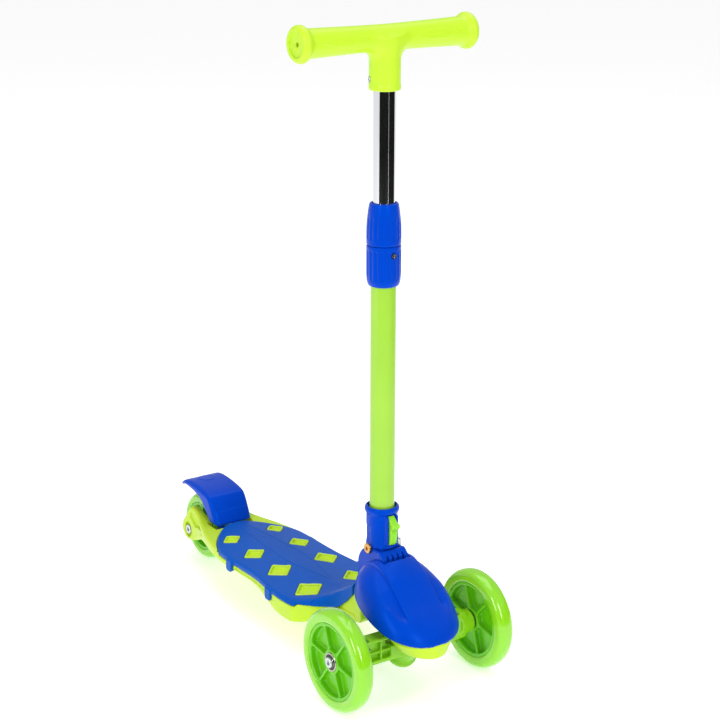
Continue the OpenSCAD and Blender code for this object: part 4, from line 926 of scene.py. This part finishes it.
def fender(x, y, z):
    side = np.abs(x)
    line = polygon(y, z, FENDER_LINE)
    # crowned sides with a broad bevel along each upper edge
    bevel = (line + side - FENDER_HALF + 3.1) * 0.7071
    outer = smooth_max(smooth_max(line, side - FENDER_HALF, 1.2), bevel, 1.6)
    roof = polygon(y, z, through(fender_top, 5) + [(FOOT_Y + 93, FOOT_Z - 40), (FOOT_Y, FOOT_Z - 40)])
    room = smooth_max(smooth_max(roof + 2.8, side - FENDER_HALF + 2.8, 1),
                      y - FOOT_Y - 89.5, 0.5)
    shape = smooth_max(outer, -room, 0.6)
    ear = plate(y, z, side, arc(FENDER_PIN[0], FENDER_PIN[1], 5.5, 180, 360, 8)
                + [(FENDER_PIN[0] + 6, FOOT_Z + 12), (FENDER_PIN[0] - 6, FOOT_Z + 12)], 8, 14, 1)
    shoe = plate(y, z, side, [(FOOT_Y + 3, FOOT_Z + 4), (FOOT_Y + 20, FOOT_Z + 4),
                              (FOOT_Y + 44, FOOT_Z + 24), (FOOT_Y + 84, FOOT_Z + 24),
                              (FOOT_Y + 84, FOOT_Z + 33), (FOOT_Y + 40, FOOT_Z + 34),
                              (FOOT_Y + 16, FOOT_Z + 26)], -9, 9, 1.2)
    shape = np.minimum(shape, np.minimum(ear, shoe))
    shape = cut(shape, length(y - REAR_Y, z - REAR_R) - REAR_R - 4, 1)
    shape = cut(shape, length(y - FENDER_PIN[0], z - FENDER_PIN[1]) - 2.05, 0.3)
    # a plain raised oval near the tip, and a faint line across the lower third
    oval = 1 - ((y - FOOT_Y - 70) / 12) ** 2 - (x / 13) ** 2
    raised = 0.5 * ease(oval * 3) - 0.35 * ease((oval - 0.35) * 4)
    step = 0.45 * ease((FOOT_Y + 6.2 - y + (z - FOOT_Z) * 0.05) / 0.8)
    return shape - raised * (z > FOOT_Z + 35) - step * (side < FENDER_HALF - 6) * (z < FOOT_Z + 30)


finish_piece(field_mesh("brake_fender", fender, (-30, FOOT_Y - 2, 50), (30, FOOT_Y + 102, 122),
                        1.1, blue_abs), "fender", ["fender"])

# -------------------------------------------------------------------------- turned pieces
def hexagon(flats):
    """The radius of a hexagon, measured across its flats, at each angle."""
    return lambda a: flats / 2 / math.cos((a + math.pi / 6) % (math.pi / 3) - math.pi / 6)


def blend(round_r, hex_r, t):
    return lambda a: round_r + (hex_r(a) - round_r) * t


def socket_head(name, axis, centre, face, depth, r, flats, shank_to, shank_r, material):
    """A button-edged cap with a hexagon socket. The face is its outer end along the
    axis, depth its thickness, and the shank runs on to shank_to."""
    s = 1 if face > shank_to else -1
    hole = hexagon(flats)
    outline = [(0.01, face - s * depth * 0.55), (hole, face - s * depth * 0.55),
               (hole, face - s * 0.35), (blend(flats * 0.66, hole, 0.3), face),
               (r - 1.1, face), (r - 0.5, face - s * 0.16), (r - 0.12, face - s * 0.6),
               (r, face - s * 1.1), (r, face - s * (depth - 0.35)), (r - 0.3, face - s * depth),
               (shank_r, face - s * depth), (shank_r, shank_to + s * 0.5),
               (shank_r - 0.5, shank_to), (0.01, shank_to)]
    piece = lathe(name, outline, axis, centre, material, 72, closed=False)
    soften(piece, 30)
    return piece


def hex_nut(name, axis, centre, w0, w1, r, bore, material):
    flat = hexagon(r * 2 * math.cos(math.pi / 6))
    t = w1 - w0
    outline = [(bore, w0), (bore, w1), (bore + 0.5, w1), (r * 0.84, w1),
               (blend(r * 0.93, flat, 0.55), w1 - t * 0.05), (flat, w1 - t * 0.16), (flat, w0 + t * 0.16),
               (blend(r * 0.93, flat, 0.55), w0 + t * 0.05), (r * 0.84, w0)]
    piece = lathe(name, outline, axis, centre, material, 72)
    soften(piece, 30)
    return piece


def spring_tree(material):
    """A coil spring: a spiral swept with a round wire."""
    tree = bpy.data.node_groups.new("coil_spring", "GeometryNodeTree")
    for label, kind, start in (("Geometry", "Geometry", None), ("Turns", "Float", 4.0),
                               ("Radius", "Float", 0.005), ("Length", "Float", 0.02),
                               ("Wire", "Float", 0.0006)):
        item = tree.interface.new_socket(label, in_out="INPUT", socket_type="NodeSocket" + kind)
        if start is not None:
            item.default_value = start
    tree.interface.new_socket("Geometry", in_out="OUTPUT", socket_type="NodeSocketGeometry")
    group_in = tree.nodes.new("NodeGroupInput").outputs
    spiral = add_node(tree, "GeometryNodeCurveSpiral", {"Start Radius": group_in["Radius"],
                      "End Radius": group_in["Radius"], "Height": group_in["Length"],
                      "Rotations": group_in["Turns"]}, Resolution=28)
    ring = add_node(tree, "GeometryNodeCurvePrimitiveCircle", {"Radius": group_in["Wire"]},
                    Resolution=10)
    swept = add_node(tree, "GeometryNodeCurveToMesh", {"Curve": spiral.outputs[0],
                     "Profile Curve": ring.outputs[0]}, Fill_Caps=True)
    shaded = add_node(tree, "GeometryNodeSetShadeSmooth", {0: swept.outputs[0]})
    real = add_node(tree, "GeometryNodeRealizeInstances", {0: shaded.outputs[0]})
    painted = add_node(tree, "GeometryNodeSetMaterial", {"Geometry": real.outputs[0]},
                       Material=material)
    out = tree.nodes.new("NodeGroupOutput")
    tree.links.new(painted.outputs[0], out.inputs[0])
    return tree


SPRING = spring_tree(spring_steel)


def spring(name, start, along, r, wire, turns, body, node):
    """A spring from start along a vector, in millimetres in the stem's frame."""
    mesh = bpy.data.meshes.new(name + "_seed")
    holder = bpy.data.objects.new(name + "_seed", mesh)
    bpy.context.scene.collection.objects.link(holder)
    modifier = holder.modifiers.new("coil", "NODES")
    modifier.node_group = SPRING
    size = float(np.linalg.norm(along))
    values = {"Turns": float(turns), "Radius": (r - wire / 2) * MM, "Length": (size - wire) * MM,
              "Wire": wire / 2 * MM}
    for item in SPRING.interface.items_tree:
        if item.name in values:
            modifier[item.identifier] = values[item.name]
    view = bpy.context.evaluated_depsgraph_get()
    made = bpy.data.meshes.new_from_object(holder.evaluated_get(view), depsgraph=view)
    turn = Vector(along).to_track_quat("Z", "Y").to_matrix()
    base = Vector(start) + Vector(STEM) + Vector(along).normalized() * (wire / 2)
    for vertex in made.vertices:
        vertex.co = turn @ vertex.co + base * MM
    bpy.data.objects.remove(holder)
    piece = bpy.data.objects.new(name, made)
    piece.data.materials.clear()
    piece.data.materials.append(spring_steel)
    bpy.context.scene.collection.objects.link(piece)
    mend_normals(piece)
    finish_piece(piece, body, [node])


# ------------------------------------------------------------------------------ wheels
HUB_HALF, HUB_R, HUB_BORE_R, WEB_HALF, SPOKE_HALF, CROWN = 10.0, 14.0, 7.0, 1.6, 1.55, 8.4
BEARING_R, BEARING_FLOOR = 11.0, 3.6


def wheel_core(half, rim, hub_half, hub_r, spokes, turn):
    """A moulded core about the x axis: a rim ring, a hub, a thin web and radial spokes
    that widen into both."""
    def field(x, y, z):
        rho = length(y, z)
        side = np.abs(x)
        ring = round_rect(rho - rim + 2.1, side, 2.1, half, 0.9)
        # the hub's face stands a little proud of a step round its rim
        hub = smooth_max(rho - hub_r, side - hub_half, 1.4)
        hub = cut(hub, (hub_r - 2.2 - rho) * 0.8 + 50 * (side < hub_half - 0.9), 0.4)
        hub = np.minimum(hub, smooth_max(rho - hub_r + 0.2, side - hub_half + 0.6, 0.8))
        web = smooth_max(side - WEB_HALF, rho - rim + 1, 0.5)
        shape = smooth_min(smooth_min(ring, hub, 1.5), web, 3.5)
        pitch = 2 * math.pi / spokes
        off = (np.arctan2(z, y) - turn + pitch / 2) % pitch - pitch / 2
        flare = 0.5 * ease((hub_r + 7 - rho) / 8) ** 2 + 0.9 * ease((rho - rim + 10) / 9) ** 2
        thick = np.abs(rho * np.sin(off)) - SPOKE_HALF - 1.9 * flare
        rise = ease((rim - 6 - rho) / (rim - hub_r - 6))
        wide = side - half + 1.4 - (hub_half - half) * rise * 0.6
        reach = np.abs(rho - (rim + hub_r) / 2) - (rim - hub_r) / 2 - 1
        spoke = smooth_max(smooth_max(thick, wide, 1.1), reach, 0.5)
        shape = smooth_min(shape, smooth_max(spoke, -np.cos(off) * rho, 0.1), 2.4)
        shape = cut(shape, rho - HUB_BORE_R, 0.4)
        return cut(shape, smooth_max(rho - BEARING_R - 0.02, BEARING_FLOOR - side, 0.1), 0.4)
    return field


def tyre_outline(half, outer, inner):
    """Half-round crown, rounded shoulders, and a raised bead line beside the core."""
    crown = []
    for k in range(25):
        a = math.pi * (k / 24 - 0.5)
        across = half * math.copysign(abs(math.sin(a)) ** 0.92, math.sin(a))
        crown.append((outer - CROWN + CROWN * max(math.cos(a), 0) ** 0.8, across))
    wall = [(inner + 3.2, half - 0.1), (inner + 2.5, half + 0.02), (inner + 1.9, half - 0.55),
            (inner + 1.3, half - 0.5), (inner + 0.6, half - 1.0), (inner, half - 1.7)]
    return crown + wall + [(r, -w) for r, w in reversed(wall)]


def bearing_rings(s):
    """The outlines of a bearing's two rings and its seal, whose face is on side s."""
    out, mid = s * (HUB_HALF + 0.2), s * (HUB_HALF - 6.6)
    outer = [(9.3, mid), (9.3, out), (10.7, out), (BEARING_R, out - s * 0.35), (BEARING_R, mid)]
    seal = [(6.4, out - s * 1.4), (6.4, out - s * 0.45), (9.4, out - s * 0.3),
            (9.4, out - s * 1.4)]
    inner = [(4.06, mid), (4.06, out - s * 0.2), (4.3, out), (6.2, out), (6.45, out - s * 0.3),
             (6.45, mid)]
    return (("outer", outer, bearing_steel), ("seal", seal, seal_rubber),
            ("inner", inner, bearing_steel))


def wheel(tag, axle, outer, rim, spokes, turn, body, node):
    """A wheel about its axle; node gives the name of each CAD node that it stands for."""
    centre = np.array(axle, float)
    core = wheel_core(TYRE_HALF - 1.5, rim, HUB_HALF, HUB_R, spokes, math.radians(turn))
    low, high = (-11.5, -rim - 1.5, -rim - 1.5), (11.5, rim + 1.5, rim + 1.5)
    finish_piece(field_mesh("core_" + tag, core, low, high, 1.0, core_pp, at=STEM + centre),
                 body, [node % "core"])
    outline = tyre_outline(TYRE_HALF, outer, rim)
    finish_piece(lathe("tyre_" + tag, outline, 0, centre, tyre_pu, 160), body, [node % "tyre"])
    for s, name in ((-1, "l"), (1, "r")):
        for part, outline, material in bearing_rings(s):
            ring = lathe("bearing_%s_%s_%s" % (part, tag, name), outline, 0, centre, material, 64)
            soften(ring, 35)
            stands_for = [node % "bearings"] if part == "outer" else []
            finish_piece(ring, body, stands_for)


for s, tag, turn in ((1, "left", 12), (-1, "right", 8)):
    wheel(tag, (s * WHEEL_X, FRONT_Y, FRONT_R), FRONT_R, FRONT_RIM, 6, turn,
          "front_wheel_" + tag, "front_%s_" + tag)
wheel("rear", (0, REAR_Y, REAR_R), REAR_R, REAR_RIM, 5, 20, "rear_wheel", "rear_%s")

# ------------------------------------------------------------------------------- truck
REACH, BEAM_HALF, BEAM_D, KNUCKLE_R = 86.7, 16.5, 9.0, 14.0
KING_LOW, KING_HIGH, BOSS_R, KING_BORE_R, NOSE_R = -20.0, 16.0, 17.0, 7.07, 19.0
COIL_X, COIL_FLOOR, COIL_TALL = 27.0, 2.8, 19.4
AXLE_R, BOLT_HEAD_R, BOLT_SOCKET, NUT_R, NUT_T = 4, 6.4, 5, 7.2, 6
AXLE_FACE, AXLE_TIP, AXLE_NUT_X, WASHER_X = 112.2, 56, 61, 87


def truck(x, y, z):
    side, v, w = np.abs(x), y - FRONT_Y, z - FRONT_R
    rho, along = king(x, y, z)
    rail = block(x, v, w, (0, 0, 0), (REACH - 8, BEAM_D, BEAM_HALF), 3)
    # hollow front and back between an upper and a lower rail, with cross ribs left
    for middle, half in ((-51.5, 20), (45.5, 16.5)):
        for face in (-BEAM_D, BEAM_D):
            trough = block(x, v, w, (middle, face, 0.5), (half, 7.2, BEAM_HALF - 5.5), 2)
            rail = cut(rail, trough, 1.2)
    rib = block(x, v, w, (0, 0, -2.2), (REACH - 12, BEAM_D - 2.5, 1.6), 0.6)
    for at_x in (-44, 50):
        rib = np.minimum(rib, block(x, v, w, (at_x, 0, 0), (1.3, BEAM_D - 1.2, BEAM_HALF - 2), 0.5))
    shape = smooth_min(rail, rib, 1.5)
    knuckle = smooth_max(length(v, w) - KNUCKLE_R, np.abs(side - REACH + 9) - 9, 1.6)
    shape = smooth_min(shape, knuckle, 3)
    boss = smooth_max(rho - BOSS_R, np.abs(along - (KING_LOW + KING_HIGH) / 2)
                      - (KING_HIGH - KING_LOW) / 2, 1.6)
    flange = smooth_max(rho - BOSS_R - 3, np.abs(along - KING_LOW - 3) - 3, 1.6)
    shape = smooth_min(shape, smooth_min(boss, flange, 2.5), 5)
    shape = cut(shape, smooth_max(rho - NOSE_R, KING_HIGH - along, 0.1), 0.8)
    shape = cut(shape, smooth_max(rho - KING_BORE_R, np.abs(along) - 60, 0.1), 0.6)
    # wells for the centring springs, long enough for the beam to turn past them
    well = length(side - COIL_X, np.maximum(np.abs(v) - 4.2, 0)) - 6.9
    shape = cut(shape, smooth_max(well, FRONT_R + 2.5 - z, 0.3), 0.6)
    shape = cut(shape, smooth_max(length(v, w) - AXLE_R - 0.02, 58 - side, 0.1), 0.4)
    nut_pocket = block(side, v, w, (REACH - 22.5, 0, 12.4), (3.5, 7.4, 20), 0.4)
    return cut(shape, nut_pocket, 0.6)


finish_piece(field_mesh("truck_moulding", truck, (-REACH - 2, FRONT_Y - 22, FRONT_R - 42),
                        (REACH + 2, FRONT_Y + 36, FRONT_R + 20), 1.25, lime_pp), "truck",
             ["truck_beam"])
front_axle = np.array([0.0, FRONT_Y, FRONT_R])
for s, tag, hand in ((-1, "r", "right"), (1, "l", "left")):
    # one node holds both of a kind, so the left one stands for it
    def stand_in(node):
        return [node] if tag == "l" else []

    bolt = socket_head("axle_bolt_" + tag, 0, front_axle, s * AXLE_FACE, 2.9, BOLT_HEAD_R,
                       BOLT_SOCKET, s * AXLE_TIP, AXLE_R, zinc)
    finish_piece(bolt, "truck", stand_in("front_axle_bolts"))
    nut_ends = sorted((s * AXLE_NUT_X, s * (AXLE_NUT_X + NUT_T)))
    nut = hex_nut("axle_nut_" + tag, 0, front_axle, *nut_ends, NUT_R, AXLE_R + 0.03, zinc)
    finish_piece(nut, "truck", stand_in("front_axle_nuts"))
    outline = [(r, s * (WASHER_X + w)) for r, w in ((4.1, 0), (4.1, 1.7), (11.6, 1.7), (12, 1.3),
                                                    (12, 0.4), (11.6, 0))]
    washer = lathe("washer_" + tag, outline, 0, front_axle, black_nylon, 64)
    finish_piece(washer, "truck", stand_in("front_washers"))
    spring("coil_" + hand, (s * COIL_X, FRONT_Y, FRONT_R + COIL_FLOOR), (0, 0, COIL_TALL), 5.5,
           1.2, 4, "chassis", "centring_spring_" + hand)
spring("coil_latch", (0, -15.34, PIVOT_Z + 14), (0, -5.6, 0), 2.25, 0.7, 4, "stem", "latch_spring")
spring("coil_fender", (-7.6, FENDER_PIN[0], FENDER_PIN[1]), (15.2, 0, 0), 3.7, 1.4, 6, "chassis",
       "fender_spring")

# --------------------------------------------------------------------------- fasteners
pivot = np.array([0.0, 0.0, PIVOT_Z])
rear_axle = np.array([0.0, REAR_Y, REAR_R])
fold_tip = stem_box("fold_bolt")[1][0]
finish_piece(socket_head("fold_bolt_turned", 0, pivot, -21.6, 3.1, 6.2, 4, fold_tip, 2.98,
                         yellow_zinc), "chassis", ["fold_bolt"])
finish_piece(hex_nut("fold_nut_turned", 0, pivot, 18.5, 23.5, 7, 3.0, zinc), "chassis",
             ["fold_nut"])
rear_tip = stem_box("rear_axle_bolt")[1][0]
finish_piece(socket_head("rear_bolt_turned", 0, rear_axle, -ARM_OUT, 3.9, BOLT_HEAD_R,
                         BOLT_SOCKET, rear_tip, AXLE_R, zinc),
             "chassis", ["rear_axle_bolt"])
rear_nut_x = ARM_OUT - 3.9
finish_piece(hex_nut("rear_nut_turned", 0, rear_axle, rear_nut_x, rear_nut_x + NUT_T, NUT_R,
                     AXLE_R + 0.03, zinc), "chassis", ["rear_axle_nut"])
for k, (x, y) in enumerate(BRACKET_SCREWS):
    screw = socket_head("bracket_screw_%d" % k, 2, np.array([x, y, 0.0]), BRACKET_LOW + 9.4, 2.4,
                        3.8, 2.5, BRACKET_LOW - 13, 1.9, zinc)
    finish_piece(screw, "chassis", ["bracket_screws"] if k == 0 else [])


# ------------------------------------------------------------------ floor and lights
def plain(name, colour, roughness=0.8):
    material, _, shader = new_material(name)
    set_shader(shader, Base_Color=hex_colour(colour), Roughness=roughness)
    return material


def panel(name, centre, across, up, material):
    """A flat rectangle about its centre."""
    c, a, b = np.array(centre), np.array(across) / 2, np.array(up) / 2
    piece = make_object(name, [c - a - b, c + a - b, c + a + b, c - a + b], [(0, 1, 2, 3)],
                        material, smooth=False)
    return piece


pale_floor = plain("pale_floor", "#fafafa")
pale_floor.node_tree.nodes["Principled BSDF"].inputs["Emission Color"].default_value = (1, 1, 1, 1)
pale_floor.node_tree.nodes["Principled BSDF"].inputs["Emission Strength"].default_value = 0.4
FLOOR_GAP = 0.0004
panel("floor", (0, 0, cad_box[0][2] - FLOOR_GAP), (30, 0, 0), (0, 30, 0), pale_floor)

scene = bpy.context.scene
WORLD_LIGHT = 0.57
scene.view_settings.view_transform = "Standard"
world = bpy.data.worlds.new("studio")
world.use_nodes = True
tree = world.node_tree
tree.nodes.clear()
seen = add_node(tree, "ShaderNodeBackground", Color=(1, 1, 1, 1), Strength=1.0)
soft = add_node(tree, "ShaderNodeBackground", Color=(1, 1, 1, 1), Strength=WORLD_LIGHT)
ray = add_node(tree, "ShaderNodeLightPath")
pick = add_node(tree, "ShaderNodeMixShader", {0: ray.outputs["Is Camera Ray"],
                                              1: soft.outputs[0], 2: seen.outputs[0]})
add_node(tree, "ShaderNodeOutputWorld", {"Surface": pick.outputs[0]})
scene.world = world


def dark_card(name, start, stop):
    """A black studio card that only reflections show: it lies on the floor and turns up
    into a wall, from one compass angle to another around the stem."""
    line = [(1.15, 0.002), (3.2, 0.002), (3.2, 1.7)]
    steps = max(2, round((stop - start) / 6))
    vertices = [(r * math.cos(a), STEM_Y * MM + r * math.sin(a), z)
                for a in np.radians(np.linspace(start, stop, steps + 1)) for r, z in line]
    faces = [(3 * i + k, 3 * i + 3 + k, 3 * i + 4 + k, 3 * i + 1 + k)
             for i in range(steps) for k in (0, 1)]
    card = make_object(name, vertices, faces, card_black, smooth=False)
    for ray_kind in ("camera", "diffuse", "transmission", "shadow"):
        setattr(card, "visible_" + ray_kind, False)


card_black = plain("black_card", "#0d0d0e", 0.9)
dark_card("dark_card_left", -178, -83)
dark_card("dark_card_right", -81, -4)


def lamp(name, place, target, size, power, spread=180):
    data = bpy.data.lights.new(name, "AREA")
    data.shape, data.size, data.size_y = "RECTANGLE", size[0], size[1]
    data.energy, data.spread = power, math.radians(spread)
    light = bpy.data.objects.new(name, data)
    scene.collection.objects.link(light)
    light.location = place
    light.rotation_mode = "QUATERNION"
    light.rotation_quaternion = (Vector(target) - Vector(place)).to_track_quat("-Z", "Y")
    return light


lamp("strip_left", (-2.4, -1.2, 1.5), (0, 0, 0.3), (0.35, 1.6), 26)
lamp("strip_front", (-0.2, -2.9, 1.6), (0, 0, 0.3), (0.35, 1.6), 26)
lamp("overhead", (0.2, 0.3, 2.8), (0, 0, 0.2), (2.2, 2.2), 30)

# --------------------------------------------------------------------------- camera
camera_data = bpy.data.cameras.new("camera")
camera_data.lens = 91.95
camera_data.sensor_width = 36
camera_data.clip_end = 100
camera = bpy.data.objects.new("camera", camera_data)
scene.collection.objects.link(camera)
camera.location = (-1.1491, -1.7850, 0.9953)
camera.rotation_euler = (math.radians(90 - 17.17), math.radians(-0.15), math.radians(-34.62))
scene.camera = camera
